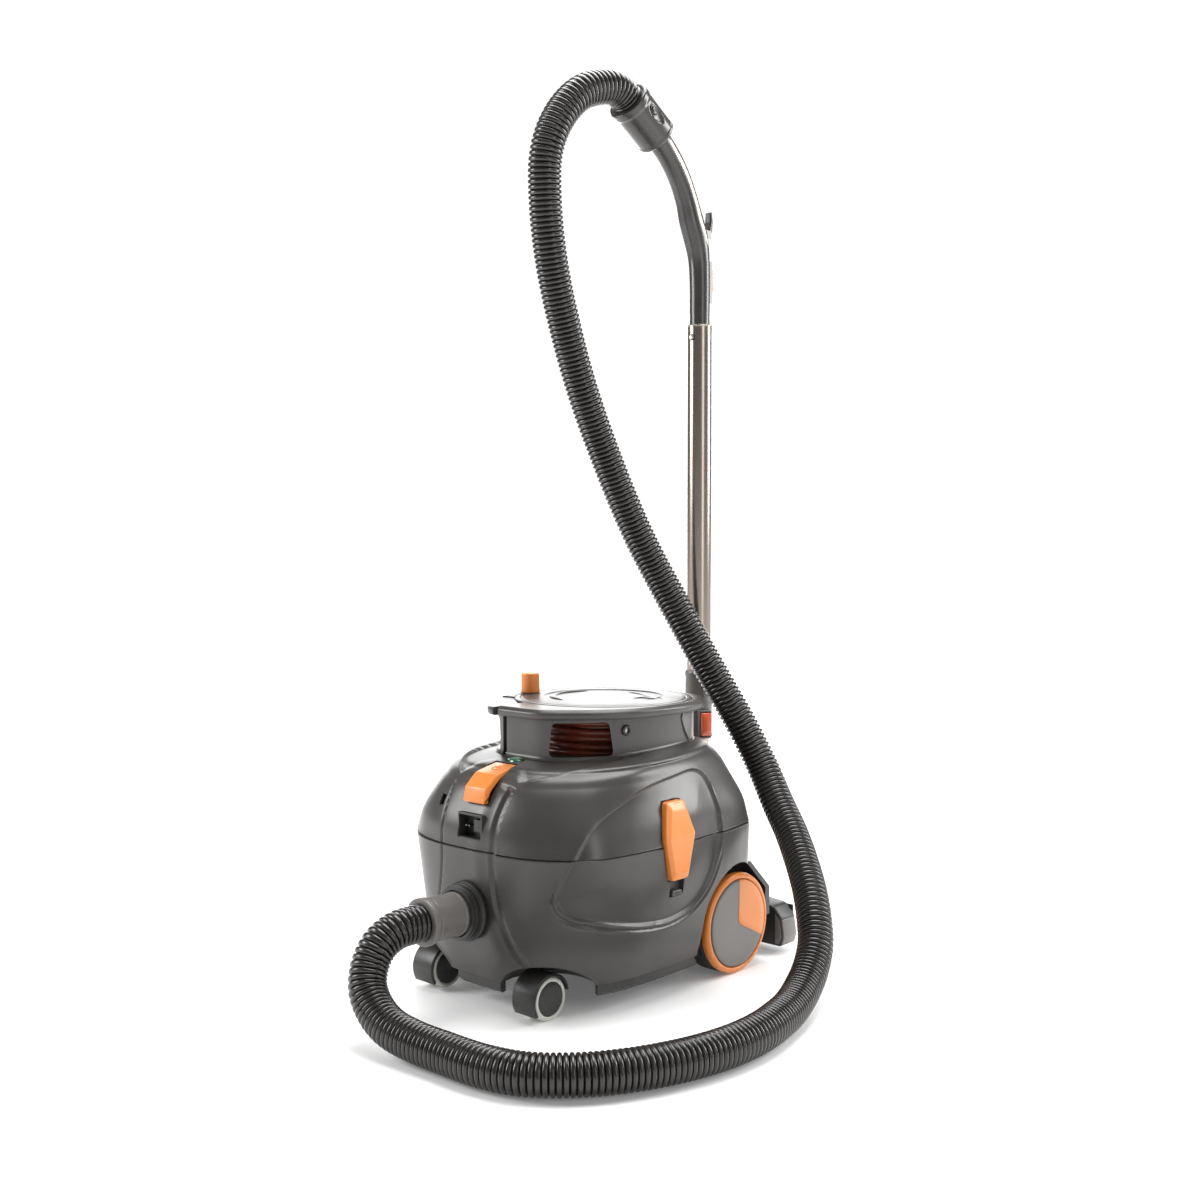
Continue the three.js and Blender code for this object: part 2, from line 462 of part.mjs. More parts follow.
add('release_button', wand(turned(prism([[20.6, 287], [24.5, 288.5], [26.5, 296], [26.5, 313],
  [24.5, 320.5], [20.6, 322]], -8, 8, 'y'))), '#e2603a', 0.4);
add('snap_button', wand(alongY(lathe([[0, 16.4], [4, 16.4], [4, 19], [2.6, 20.6], [0, 20.6]], 16))
  .translate([0, 0, WAND.snapZ])), STEEL, 0.3, 1);

// handle: a hollow S-bent grip, [y, z, radius] down the middle plane
const LEVER_AXIS = [0, 259.5, 1006];
const CUFF = { y: 150, z: 1122.5, lean: 58.63, buttonAt: 44 };  // hose cuff seat and its lean about X
const GRIP = [[246, 812, 15.7], [246, 846, 15.7], [246, 848, 15.7], [246, 874, 15.7], [246, 878, 14.6],
  [246, 930, 14.8], [243.5, 972, 15.8], [236, 1000, 18], [226, 1022, 17.8], [216, 1048, 16.4],
  [200, 1076, 16], [177, 1102, 16.2], [150, 1122.5, 16.6], [121, 1140.6, 16.2]];
function gripSkin(radius) {
  const seg = 12;
  const pos = [];
  GRIP.forEach(([y, z, r], k) => {
    const a = GRIP[Math.max(0, k - 1)];
    const b = GRIP[Math.min(GRIP.length - 1, k + 1)];
    const l = Math.hypot(b[0] - a[0], b[1] - a[1]);
    const n = [(b[1] - a[1]) / l, -(b[0] - a[0]) / l];
    for (let i = 0; i < seg; i++) {
      const t = (2 * Math.PI * i) / seg;
      const rr = radius(r);
      pos.push(rr * Math.cos(t), y + n[0] * rr * Math.sin(t), z + n[1] * rr * Math.sin(t));
    }
  });
  const idx = [];
  for (let k = 0; k + 1 < GRIP.length; k++) {
    for (let i = 0; i < seg; i++) {
      const a = k * seg + i;
      const b = k * seg + ((i + 1) % seg);
      idx.push(a, b, b + seg, a, b + seg, a + seg);
    }
  }
  for (const [k, up] of [[0, false], [GRIP.length - 1, true]]) {
    const c = pos.length / 3;
    pos.push(0, GRIP[k][0], GRIP[k][1]);
    for (let i = 0; i < seg; i++) {
      const a = k * seg + i;
      const b = k * seg + ((i + 1) % seg);
      if (up) idx.push(c, a, b); else idx.push(c, b, a);
    }
  }
  const g = new THREE.BufferGeometry();
  g.setAttribute('position', new THREE.Float32BufferAttribute(pos, 3));
  g.setIndex(idx);
  return solid(g);
}
const bore = gripSkin(() => 11);
const boreEnds = rod(11, 800, 815, 20).translate([0, 246, 0]);
const cuffTurn = (m) => m.rotate([CUFF.lean, 0, 0]).translate([0, CUFF.y, CUFF.z]);
let grip = gripSkin((r) => r).subtract(bore).subtract(boreEnds).subtract(cuffTurn(rod(11, 25, 60, 20)));
grip = grip.subtract(wand(alongY(rod(4.4, 8, 25, 16)).translate([0, 0, WAND.snapZ])));
grip = grip.add(box(-10.6, -8.6, 256, 264, 908, 968)).add(box(8.6, 10.6, 256, 264, 908, 968));
grip = grip.add(union(both((s) => box(s > 0 ? 5.6 : -8.4, s > 0 ? 8.4 : -5.6, 249, 262, 1000, 1012))));
grip = grip.add(alongX(rod(1.8, -7, 7, 12)).translate(LEVER_AXIS));
grip = grip.subtract(box(-5.2, 5.2, 262.5, 275, 900, 980));
add('handle_grip', grip, '#413c38', 0.3);
add('air_slider', box(-8.2, 8.2, 261.6, 265.6, 926, 956).add(box(-5, 5, 261.6, 268, 914, 928)),
  ORANGE, 0.4);
let lever = prism([[256.5, 1003], [262, 1001], [268.5, 1012], [270.5, 1027], [268, 1041], [264.5, 1040],
  [265.5, 1027], [261.5, 1013], [256.5, 1009]], -5, 5, 'x');
lever = lever.add(alongX(rod(4.2, -5, 5, 16)).translate(LEVER_AXIS))
  .subtract(alongX(rod(2.2, -9, 9, 12)).translate(LEVER_AXIS));
add('thumb_lever', lever, BLACK, 0.35);
let cuff = lathe([[17.2, 0.5], [26.5, 0.5], [28.6, 3], [28, 60], [29.4, 62], [29.4, 71.5], [17.2, 71.5],
  [17.2, 0.5]], 32);
cuff = cuff.subtract(alongX(rod(5.4, 22.5, 40, 16)).translate([0, 0, CUFF.buttonAt]));
add('hose_cuff', cuffTurn(cuff), '#4a4541', 0.3);
add('cuff_button', cuffTurn(alongX(lathe([[0, 25], [5, 25], [5, 28.6], [4, 29.4], [0, 29.4]], 16))
  .translate([0, 0, CUFF.buttonAt])), '#2a2725', 0.3);

// ---- floor tool, hanging behind the machine ----
const tool = (m) => m.translate([0, TOOL.y, TOOL.z]);
let neckPipe = ring(16, 21, 16, 56, 20).add(alongX(rod(22, -28, 28, 24)));
neckPipe = neckPipe.subtract(rod(16, 18, 60, 20)).subtract(rod(11, 0, 30, 20));
neckPipe = neckPipe.subtract(union(both((s) => alongX(rod(6.5, -4, 6, 16)).translate([s * 26, 0, 0]))));
neckPipe = neckPipe.add(box(-12, 12, -29, -18, 5.5, 16)).add(box(-10, 10, -29.4, -27, 5.5, 26));
add('tool_neck', tool(neckPipe), BLACK, 0.5);
let shoe = prism([[-TOOL.half, -88], [TOOL.half, -88], [TOOL.half + 4, -74], [TOOL.half, -48],
  [TOOL.half - 14, -33], [70, -27], [42, -18], [40, 14], [-40, 14], [-42, -18], [-70, -27],
  [-TOOL.half + 14, -33], [-TOOL.half, -48], [-TOOL.half - 4, -74]], -14, 20, 'y');
shoe = shoe.subtract(box(-29, 29, -60, 60, -24.5, 60)).subtract(box(-60, 60, -30, -12, 8, 30));
shoe = shoe.add(union(both((s) => alongX(rod(6, -4, 4, 16)).translate([s * 26.4, 0, 0]))));
shoe = shoe.subtract(box(-132, 132, 8, 40, -70, -56)).subtract(box(-27, 27, -30, -7, -66, -38));
shoe = shoe.subtract(box(-149, 149, 8, 40, -83, -77));
shoe = shoe.add(alongX(rod(2, -28, 28, 12)).translate(PEDAL_AXIS));
add('floor_tool_body', tool(shoe), '#1f1d1c', 0.5);
add('tool_pedal', tool(prism([[-21, -64], [-15, -65], [-15, -55], [-15, -49], [-15, -39], [-21, -40],
  [-18, -52]], -25, 25, 'x').add(alongX(ring(2.4, 4.6, -25, 25, 16)).translate(PEDAL_AXIS))
  .subtract(alongX(rod(2.4, -30, 30, 12)).translate(PEDAL_AXIS))), '#77726d', 0.5);
add('tool_sole', tool(box(-152, 152, 20.4, 22.6, -85, -36).subtract(box(-132, 132, 10, 40, -70, -56))
  .subtract(box(-149.4, 149.4, 10, 40, -83.4, -76.6))), STEEL, 0.3, 1);
add('brush_strip', tool(box(-148.4, 148.4, 10, 22, -82.4, -77.6)), '#2c2a28', 0.9);

// ---- suction hose, free from the inlet connector to the cuff ----
const HOSE = [[0, -278, 119], [0, -283, 119], [0, -292, 119], [-1, -314, 117], [-3, -336, 105],
  [-2, -351, 84], [6, -360, 62], [24, -364, 44], [52, -366, 31], [90, -364, 24.5],
  [139, -361, 22.7], [195, -358, 22.7], [241, -344, 22.7],
  [282, -310, 22.7], [314, -262, 22.7], [337, -204, 22.7], [349, -140, 22.7], [348, -82, 22.7],
  [340, -40, 22.7], [328, 6, 23.5], [313, 52, 31], [302, 86, 45], [291, 113, 67], [274, 135, 94],
  [252, 158, 119], [222, 184, 147], [189, 208, 177], [156, 224, 210], [124, 232, 256], [95, 223, 312],
  [69, 208, 364], [45, 192, 414], [22, 175, 466], [1, 157, 517], [-17, 137, 569], [-31, 117, 622],
  [-43, 96, 679], [-51, 72, 738], [-55, 48, 797], [-55, 25, 855], [-52, 3, 911], [-46, -16, 966],
  [-40, -28, 1018], [-34, -33, 1064], [-27, -29, 1096], [-19, -13, 1129], [-11, 10, 1153],
  [-5, 36, 1164.5], [-1, 60, 1169.5], [0, 77, 1166],
  [0, 84.5, 1162.4], [0, 88.5, 1160]];
add('suction_hose', sweep(HOSE, HOSE_D / 2, HOSE_D / 2 - 4.5, 56, 8), '#23201e', 0.5);

export default group;
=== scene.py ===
"""Looks of a commercial canister vacuum cleaner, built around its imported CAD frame."""
import json
import math

import bpy
import numpy as np
from mathutils import Matrix, Vector


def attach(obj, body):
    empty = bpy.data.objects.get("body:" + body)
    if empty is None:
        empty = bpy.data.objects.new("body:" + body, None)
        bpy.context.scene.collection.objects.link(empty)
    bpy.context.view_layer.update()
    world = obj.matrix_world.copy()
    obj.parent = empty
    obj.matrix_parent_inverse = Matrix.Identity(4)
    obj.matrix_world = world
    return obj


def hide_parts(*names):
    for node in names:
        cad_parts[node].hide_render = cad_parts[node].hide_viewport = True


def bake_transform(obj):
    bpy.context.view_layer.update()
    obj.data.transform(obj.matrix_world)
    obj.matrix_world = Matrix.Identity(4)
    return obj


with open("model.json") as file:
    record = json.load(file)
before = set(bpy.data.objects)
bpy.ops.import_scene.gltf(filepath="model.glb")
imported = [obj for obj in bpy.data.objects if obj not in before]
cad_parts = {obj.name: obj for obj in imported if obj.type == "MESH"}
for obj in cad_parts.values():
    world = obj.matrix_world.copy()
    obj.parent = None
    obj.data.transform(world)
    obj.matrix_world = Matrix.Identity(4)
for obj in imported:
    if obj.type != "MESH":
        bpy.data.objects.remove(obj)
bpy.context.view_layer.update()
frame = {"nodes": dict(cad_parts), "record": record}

MM = 0.001
SHIFT_Y = 3.5            # tables are centred on the machine, the frame on machine and wand
SEAM_Z = 193.7
SEAM_GAP = 0.4


# ---------------------------------------------------------------- camera
CAMERA_AT = (1.2333, -1.3076, 0.567)
CAMERA_HEADING, CAMERA_DOWN = math.radians(42.9), math.radians(2.05)
CAMERA_SENSOR, CAMERA_LENS = 36.0, 41.8


def make_camera():
    data = bpy.data.cameras.new("camera")
    data.sensor_width, data.lens = CAMERA_SENSOR, CAMERA_LENS
    cam = bpy.data.objects.new("camera", data)
    level = math.cos(CAMERA_DOWN)
    look = Vector((-math.sin(CAMERA_HEADING) * level, math.cos(CAMERA_HEADING) * level,
                   -math.sin(CAMERA_DOWN)))
    cam.location = CAMERA_AT
    cam.rotation_euler = look.to_track_quat("-Z", "Y").to_euler()
    bpy.context.scene.collection.objects.link(cam)
    bpy.context.scene.camera = cam


make_camera()


# ---------------------------------------------------------------- materials
def node(tree, kind, **settings):
    """Shader node with its inputs, or else its own settings, set by name."""
    made = tree.nodes.new(kind)
    for key, value in settings.items():
        if key in made.inputs:
            made.inputs[key].default_value = value
        else:
            setattr(made, key, value)
    return made


def toned(color, gain, lift=0.0):
    return (*[min(1, c * gain + lift) for c in color], 1)


def surface(name, color, rough, grain, bump, vary, patch=18.0, metal=0.0, coat=0.0, sheen=0.0,
            stretch=(1, 1, 1), scuff=0.0):
    """Principled material with patchy tone, uneven gloss and a fine moulded or drawn grain."""
    mat = bpy.data.materials.new(name)
    mat.use_nodes = True
    tree = mat.node_tree
    link = tree.links.new
    shader = tree.nodes["Principled BSDF"]
    for key, value in (("Metallic", metal), ("Coat Weight", coat), ("Sheen Weight", sheen),
                       ("Coat Roughness", 0.12)):
        shader.inputs[key].default_value = value
    place = node(tree, "ShaderNodeTexCoord")
    scaled = node(tree, "ShaderNodeMapping", Scale=stretch)
    link(place.outputs["Object"], scaled.inputs["Vector"])
    broad = node(tree, "ShaderNodeTexNoise", Scale=patch, Detail=5.0)
    fine = node(tree, "ShaderNodeTexNoise", Scale=grain, Detail=3.0)
    for tex in (broad, fine):
        link(scaled.outputs["Vector"], tex.inputs["Vector"])
    tone = node(tree, "ShaderNodeValToRGB")
    for stop, position, gain in zip(tone.color_ramp.elements, (0.3, 0.7), (1 - vary, 1 + vary)):
        stop.position, stop.color = position, toned(color, gain)
    link(broad.outputs["Fac"], tone.inputs["Fac"])
    speck = node(tree, "ShaderNodeMix", data_type="RGBA", blend_type="OVERLAY", Factor=0.18)
    link(tone.outputs["Color"], speck.inputs[6])
    link(fine.outputs["Color"], speck.inputs[7])
    out = speck.outputs[2]
    if scuff:
        worn = node(tree, "ShaderNodeNewGeometry")
        edge = node(tree, "ShaderNodeMapRange",
                    **{"From Min": 0.53, "From Max": 0.62, "To Max": scuff})
        link(worn.outputs["Pointiness"], edge.inputs["Value"])
        pale = node(tree, "ShaderNodeMix", data_type="RGBA")
        pale.inputs[7].default_value = toned(color, 1.7, 0.03)
        link(edge.outputs["Result"], pale.inputs["Factor"])
        link(out, pale.inputs[6])
        out = pale.outputs[2]
    link(out, shader.inputs["Base Color"])
    gloss = node(tree, "ShaderNodeMapRange", **{"From Min": 0.25, "From Max": 0.75,
                 "To Min": rough * 0.85, "To Max": min(1, rough * 1.18)})
    link(broad.outputs["Fac"], gloss.inputs["Value"])
    link(gloss.outputs["Result"], shader.inputs["Roughness"])
    relief = node(tree, "ShaderNodeBump", Strength=bump, Distance=0.0002)
    link(fine.outputs["Fac"], relief.inputs["Height"])
    link(relief.outputs["Normal"], shader.inputs["Normal"])
    return mat


# linear base colour, roughness, grain, bump and variation of each slot of the record, and what
# else its surface needs
FINISH = {
    "housing_grey": ((0.041, 0.0378, 0.0355), 0.33, 1300, 0.20, 0.05, dict(scuff=0.25)),
    "trim_grey": ((0.135, 0.126, 0.119), 0.36, 1100, 0.12, 0.05, {}),
    "accent_orange": ((0.68, 0.205, 0.032), 0.38, 900, 0.10, 0.05, dict(coat=0.15, scuff=0.2)),
    "button_red": ((0.66, 0.10, 0.032), 0.30, 800, 0.08, 0.05, dict(coat=0.4)),
    "black_plastic": ((0.018, 0.017, 0.016), 0.42, 1200, 0.2, 0.15, dict(scuff=0.3)),
    "handle_plastic": ((0.024, 0.022, 0.021), 0.27, 900, 0.02, 0.08, dict(coat=0.12)),
    "lamp_green": ((0.012, 0.13, 0.06), 0.12, 500, 0.05, 0.2, dict(coat=0.8)),
    "wand_steel": ((0.29, 0.25, 0.215), 0.24, 700, 0.02, 0.06,
                   dict(metal=1.0, stretch=(1, 1, 0.03))),
    "zinc_steel": ((0.30, 0.29, 0.28), 0.30, 600, 0.15, 0.08, dict(metal=1.0)),
    "motor_alloy": ((0.45, 0.45, 0.44), 0.45, 500, 0.4, 0.1, dict(metal=1.0)),
    "tyre_black": ((0.014, 0.014, 0.014), 0.65, 700, 0.3, 0.2, dict(scuff=0.25)),
    "caster_grey": ((0.54, 0.55, 0.50), 0.5, 700, 0.15, 0.06, {}),
    "seal_rubber": ((0.012, 0.012, 0.012), 0.6, 800, 0.2, 0.1, {}),
    "cable_red": ((0.17, 0.034, 0.016), 0.33, 600, 0.1, 0.12, dict(coat=0.2)),
    "hose_black": ((0.014, 0.0118, 0.0105), 0.25, 900, 0.03, 0.15, dict(coat=0.1)),
    "bag_fleece": ((0.62, 0.55, 0.40), 0.95, 420, 0.9, 0.10, dict(sheen=0.3)),
    "card_brown": ((0.40, 0.27, 0.13), 0.9, 350, 0.5, 0.12, {}),
    "filter_white": ((0.75, 0.74, 0.68), 0.95, 300, 0.8, 0.06, {}),
    "brush_bristle": ((0.02, 0.019, 0.018), 0.8, 900, 1.0, 0.3, dict(stretch=(1, 0.05, 1))),
}
MATERIALS = {name: surface(name, *look, **more) for name, (*look, more) in FINISH.items()}


# ---------------------------------------------------------------- mesh helpers
def mesh_object(name, points, faces):
    """Object in the scene from points in mm."""
    mesh = bpy.data.meshes.new(name)
    mesh.from_pydata((np.asarray(points) * MM).tolist(), [], faces)
    obj = bpy.data.objects.new(name, mesh)
    bpy.context.scene.collection.objects.link(obj)
    return obj


def put(name, points, faces, body, finish, replaces=(), sharp=32.0):
    """Visible piece on a body; sharp is the angle above which an edge stays crisp."""
    obj = mesh_object(name, np.asarray(points) + [0, SHIFT_Y, 0], faces)
    obj.data.materials.append(MATERIALS[finish])
    obj.data.polygons.foreach_set("use_smooth", [True] * len(faces))
    obj.data.set_sharp_from_angle(angle=math.radians(sharp))
    if body:
        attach(obj, body)
    if replaces:
        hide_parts(*replaces)
    return obj


def grid_faces(rows, cols):
    """Quads of a rows x cols grid of points, joined round the columns."""
    r = np.arange(rows - 1)[:, None]
    c = np.arange(cols)[None, :]
    d = (c + 1) % cols
    a, b = r * cols + c, r * cols + d
    return np.stack([a, b, b + cols, a + cols], -1).reshape(-1, 4).tolist()


def closed_grid(grid):
    """(points, faces) of a tube of loops [k, n, 3], its two ends closed by fans."""
    k, n, _ = grid.shape
    points = np.concatenate([grid.reshape(-1, 3), grid[0].mean(0)[None], grid[-1].mean(0)[None]])
    faces = grid_faces(k, n)
    first, last = k * n, k * n + 1
    for i in range(n):
        j = (i + 1) % n
        faces.append([first, j, i])
        faces.append([last, (k - 1) * n + i, (k - 1) * n + j])
    return points, faces


def ring_grid(grid):
    """(points, faces) of loops [k, n, 3] whose last loop joins the first, a ring-shaped solid."""
    k, n, _ = grid.shape
    faces = grid_faces(k, n)
    last = (k - 1) * n
    faces += [[last + i, last + (i + 1) % n, (i + 1) % n, i] for i in range(n)]
    return grid.reshape(-1, 3), faces


def turns(count):
    """Angles of count even steps round a circle."""
    return 2 * np.pi * np.arange(count) / count


def round_loop(rx, ry, z, angles):
    """Points of a level circle or ellipse about the Z axis."""
    return np.stack([rx * np.cos(angles), ry * np.sin(angles), np.full(len(angles), z)], -1)


def lifted(loop, z):
    """Plan loop [n, 2] as points at height z."""
    return np.column_stack([loop, np.broadcast_to(z, len(loop))])


def rounded(profile, radius, steps=4):
    """Profile of [r, z] corners with each corner rounded by an arc-like curve."""
    pts = [np.array(p, float) for p in profile]
    out = [pts[0]]
    for a, b, c in zip(pts, pts[1:], pts[2:]):
        la, lc = np.linalg.norm(a - b), np.linalg.norm(c - b)
        reach = min(radius, la * 0.45, lc * 0.45)
        p, q = b + (a - b) / max(la, 1e-9) * reach, b + (c - b) / max(lc, 1e-9) * reach
        for t in np.linspace(0, 1, steps + 1):
            out.append((1 - t) ** 2 * p + 2 * t * (1 - t) * b + t * t * q)
    out.append(pts[-1])
    return out


def rounded_loop(corners, radius, steps=6):
    """Closed outline with its corners rounded."""
    pts = [np.array(p, float) for p in corners]
    loop = []
    for before, corner, after in zip([pts[-1], *pts], pts, [*pts[1:], pts[0]]):
        loop += rounded([before, corner, after], radius, steps)[1:-1]
    return np.array(loop)


def oblong(x0, x1, y0, y1):
    """Corners of a rectangle, for a plate's outline or a turned profile."""
    return [[x0, y0], [x1, y0], [x1, y1], [x0, y1]]


def divided(loop, longest):
    """Profile with extra points, so that no step is longer than longest."""
    out = [loop[0]]
    for p, q in zip(loop, loop[1:]):
        count = max(1, int(np.linalg.norm(np.subtract(q, p)) / longest))
        out += [np.array(p) + (np.array(q) - p) * (i + 1) / count for i in range(count)]
    return out


def lathe(profile, seg, radius, closed=False, longest=1e9):
    """(points, faces) of a solid turned about Z; a closed profile makes a ring."""
    if closed:
        loop = rounded([profile[-1], *profile, profile[0]], radius)[1:-1]
    else:
        loop = rounded(profile, radius)
    grid = np.stack([round_loop(r, r, z, turns(seg)) for r, z in divided(loop, longest)])
    return ring_grid(grid) if closed else closed_grid(grid)


def moved(shape, matrix):
    points, faces = shape
    m = np.array(matrix)
    points = np.asarray(points) @ m[:3, :3].T + m[:3, 3]
    if np.linalg.det(m[:3, :3]) < 0:
        faces = [f[::-1] for f in faces]
    return points, faces


def at(x, y, z):
    return Matrix.Translation((x, y, z))


def along(axis):
    """Turns +Z of a piece to the named direction."""
    return Vector(axis).to_track_quat("Z", "Y").to_matrix().to_4x4()


def sideways(x, y, z):
    """Place of a piece whose axis points to the machine's right."""
    return at(x, y, z) @ along((1, 0, 0))


def forwards(x, y, z):
    return at(x, y, z) @ along((0, -1, 0))


SIDES = ((1, "r", "right"), (-1, "l", "left"))


def side(s):
    return Matrix.Diagonal((s, 1, 1, 1))


def pair(shape):
    """The shape on the right and its mirror image on the left."""
    return [moved(shape, side(s)) for s in (1, -1)]


def join(*shapes):
    points, faces, base = [], [], 0
    for p, f in shapes:
        points.append(np.asarray(p, float))
        faces += [[i + base for i in face] for face in f]
        base += len(p)
    return np.concatenate(points), faces


def block(x0, x1, y0, y1, z0, z1):
    """Box to cut with, or to join to a larger piece."""
    points = [(x, y, z) for z in (z0, z1) for x, y in ((x0, y0), (x1, y0), (x1, y1), (x0, y1))]
    return np.array(points, float), [[3, 2, 1, 0], [4, 5, 6, 7], [0, 1, 5, 4], [1, 2, 6, 5],
                                     [2, 3, 7, 6], [3, 0, 4, 7]]


def inset(loop, d):
    """Loop moved inwards by d along its own normals."""
    ahead = np.roll(loop, -1, 0) - np.roll(loop, 1, 0)
    normal = np.stack([ahead[:, 1], -ahead[:, 0]], -1)
    return loop - d * normal / np.maximum(np.linalg.norm(normal, axis=1)[:, None], 1e-9)


def prism(outline, lo, hi, radius=2.0, edge=0.6, steps=4):
    """Plate of a rounded 2-D outline between heights lo and hi, its rims rounded by edge."""
    loop = rounded_loop(outline, radius, steps)
    area = np.sum(loop[:, 0] * np.roll(loop[:, 1], -1) - np.roll(loop[:, 0], -1) * loop[:, 1])
    loop = loop if area > 0 else loop[::-1]
    bevel = [(edge * (1 - np.cos(t)), edge * (1 - np.sin(t)))
             for t in (np.linspace(0, np.pi / 2, 4) if edge else [np.pi / 2])]
    levels = [(lo + dz, cut) for dz, cut in bevel] + [(hi - dz, cut) for dz, cut in bevel[::-1]]
    return closed_grid(np.stack([lifted(inset(loop, cut), z) for z, cut in levels]))


STAND_X = Matrix(((0, 0, 1, 0), (1, 0, 0, 0), (0, 1, 0, 0), (0, 0, 0, 1)))    # a->y b->z depth->x
STAND_Y = Matrix(((1, 0, 0, 0), (0, 0, -1, 0), (0, 1, 0, 0), (0, 0, 0, 1)))   # a->x b->z depth->-y


def carve(shape, cutters=(), joined=(), common=()):
    """Shape with the joined shapes added, the cutters taken away and only what lies in the common
    shapes kept, as (points, faces) in mm."""
    base = mesh_object("temp", *shape)
    others = []
    for operation, group in (("UNION", joined), ("DIFFERENCE", cutters), ("INTERSECT", common)):
        for other in group:
            others.append(mesh_object("temp", *other))
            step = base.modifiers.new(operation, "BOOLEAN")
            step.operation, step.object, step.solver = operation, others[-1], "MANIFOLD"
    graph = bpy.context.evaluated_depsgraph_get()
    mesh = bpy.data.meshes.new_from_object(base.evaluated_get(graph))
    points = np.empty(len(mesh.vertices) * 3)
    mesh.vertices.foreach_get("co", points)
    faces = [list(p.vertices) for p in mesh.polygons]
    for obj in (base, *others):
        bpy.data.objects.remove(obj)
    return points.reshape(-1, 3) / MM, faces


# ---------------------------------------------------------------- curves
def hermite(t, p, slope_p, q, slope_q):
    return ((2 * t**3 - 3 * t**2 + 1) * p + (t**3 - 2 * t**2 + t) * slope_p
            + (3 * t**2 - 2 * t**3) * q + (t**3 - t**2) * slope_q)


def spline(points, count, closed=False):
    """Points along a centripetal Catmull-Rom curve, evenly spaced in its parameter."""
    pts = np.array(points, float)
    if closed:
        pts = np.concatenate([pts[-1:], pts, pts[:2]])
    else:
        pts = np.concatenate([2 * pts[:1] - pts[1:2], pts, 2 * pts[-1:] - pts[-2:-1]])
    spans = len(pts) - 3
    out = []
    for u in np.linspace(0, spans, count, endpoint=not closed):
        i = min(int(u), spans - 1)
        p0, p1, p2, p3 = pts[i:i + 4]
        d = [max(np.linalg.norm(b - a) ** 0.5, 1e-4) for a, b in ((p0, p1), (p1, p2), (p2, p3))]
        m1 = d[1] * ((p1 - p0) / d[0] - (p2 - p0) / (d[0] + d[1]) + (p2 - p1) / d[1])
        m2 = d[1] * ((p2 - p1) / d[1] - (p3 - p1) / (d[1] + d[2]) + (p3 - p2) / d[2])
        out.append(hermite(u - i, p1, m1, p2, m2))
    return np.array(out)


def even(points, spacing):
    """The same line at even steps of about spacing, and its length."""
    steps = np.linalg.norm(np.diff(points, axis=0), axis=1)
    run = np.concatenate([[0], np.cumsum(steps)])
    count = int(round(run[-1] / spacing)) + 1
    want = np.linspace(0, run[-1], count)
    return np.stack([np.interp(want, run, points[:, k]) for k in range(3)], -1), run[-1]


def frames(line):
    """Two steady side directions at each point of a line."""
    tangent = np.gradient(line, axis=0)
    tangent /= np.linalg.norm(tangent, axis=1)[:, None]
    first = np.cross(tangent[0], [1.0, 0, 0])
    first /= np.linalg.norm(first)
    sides = [first]
    for t in tangent[1:]:
        nxt = sides[-1] - t * (sides[-1] @ t)
        sides.append(nxt / np.linalg.norm(nxt))
    sides = np.array(sides)
    return sides, np.cross(tangent, sides)


def around(line, radii, u, v, seg):
    """Loops of radii about the points of a line, in the planes of u and v."""
    turn = turns(seg)[None, :, None]
    return line[:, None] + radii * (u[:, None] * np.cos(turn) + v[:, None] * np.sin(turn))


def tube(line, radii, seg):
    """(points, faces) of a round tube whose radius is given at each point of its line."""
    u, v = frames(line)
    return closed_grid(around(line, np.asarray(radii, float)[:, None, None], u, v, seg)[:, ::-1])


# ---------------------------------------------------------------- suction hose
VALLEY_R, RIB_HEIGHT, RIB_PITCH = 18.7, 3.8, 6.6
LOOPS_PER_RIB = 8
HOSE = [[0, -278, 119], [0, -283, 119], [0, -292, 119], [-1, -314, 117], [-3, -336, 105],
        [-2, -351, 84], [6, -360, 62], [24, -364, 44], [52, -366, 31], [90, -364, 24.5],
        [139, -361, 22.7], [195, -358, 22.7], [241, -344, 22.7], [282, -310, 22.7],
        [314, -262, 22.7], [337, -204, 22.7], [349, -140, 22.7], [348, -82, 22.7],
        [340, -40, 22.7], [328, 6, 23.5], [313, 52, 31], [302, 86, 45], [291, 113, 67],
        [274, 135, 94], [252, 158, 119], [222, 184, 147], [189, 208, 177], [156, 224, 210],
        [124, 232, 256], [95, 223, 312], [69, 208, 364], [45, 192, 414], [22, 175, 466],
        [1, 157, 517], [-17, 137, 569], [-31, 117, 622], [-43, 96, 679], [-51, 72, 738],
        [-55, 48, 797], [-55, 25, 855], [-52, 3, 911], [-46, -16, 966], [-40, -28, 1018],
        [-34, -33, 1064], [-27, -29, 1096], [-19, -13, 1129], [-11, 10, 1153], [-5, 36, 1164.5],
        [-1, 60, 1169.5], [0, 77, 1166], [0, 84.5, 1162.4], [0, 88.5, 1160]]


def make_hose():
    line, length = even(spline(HOSE, 3000), RIB_PITCH / LOOPS_PER_RIB)
    place = (np.arange(len(line)) % LOOPS_PER_RIB) / LOOPS_PER_RIB
    radii = VALLEY_R + RIB_HEIGHT * np.sqrt(1 - (2 * place - 1) ** 2) ** 0.85
    hose = put("ribbed_hose", *tube(line, radii, 44), None, "hose_black", ["suction_hose"],
               sharp=80)
    line = (line + [0, SHIFT_Y, 0]) * MM
    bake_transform(hose)


make_hose()


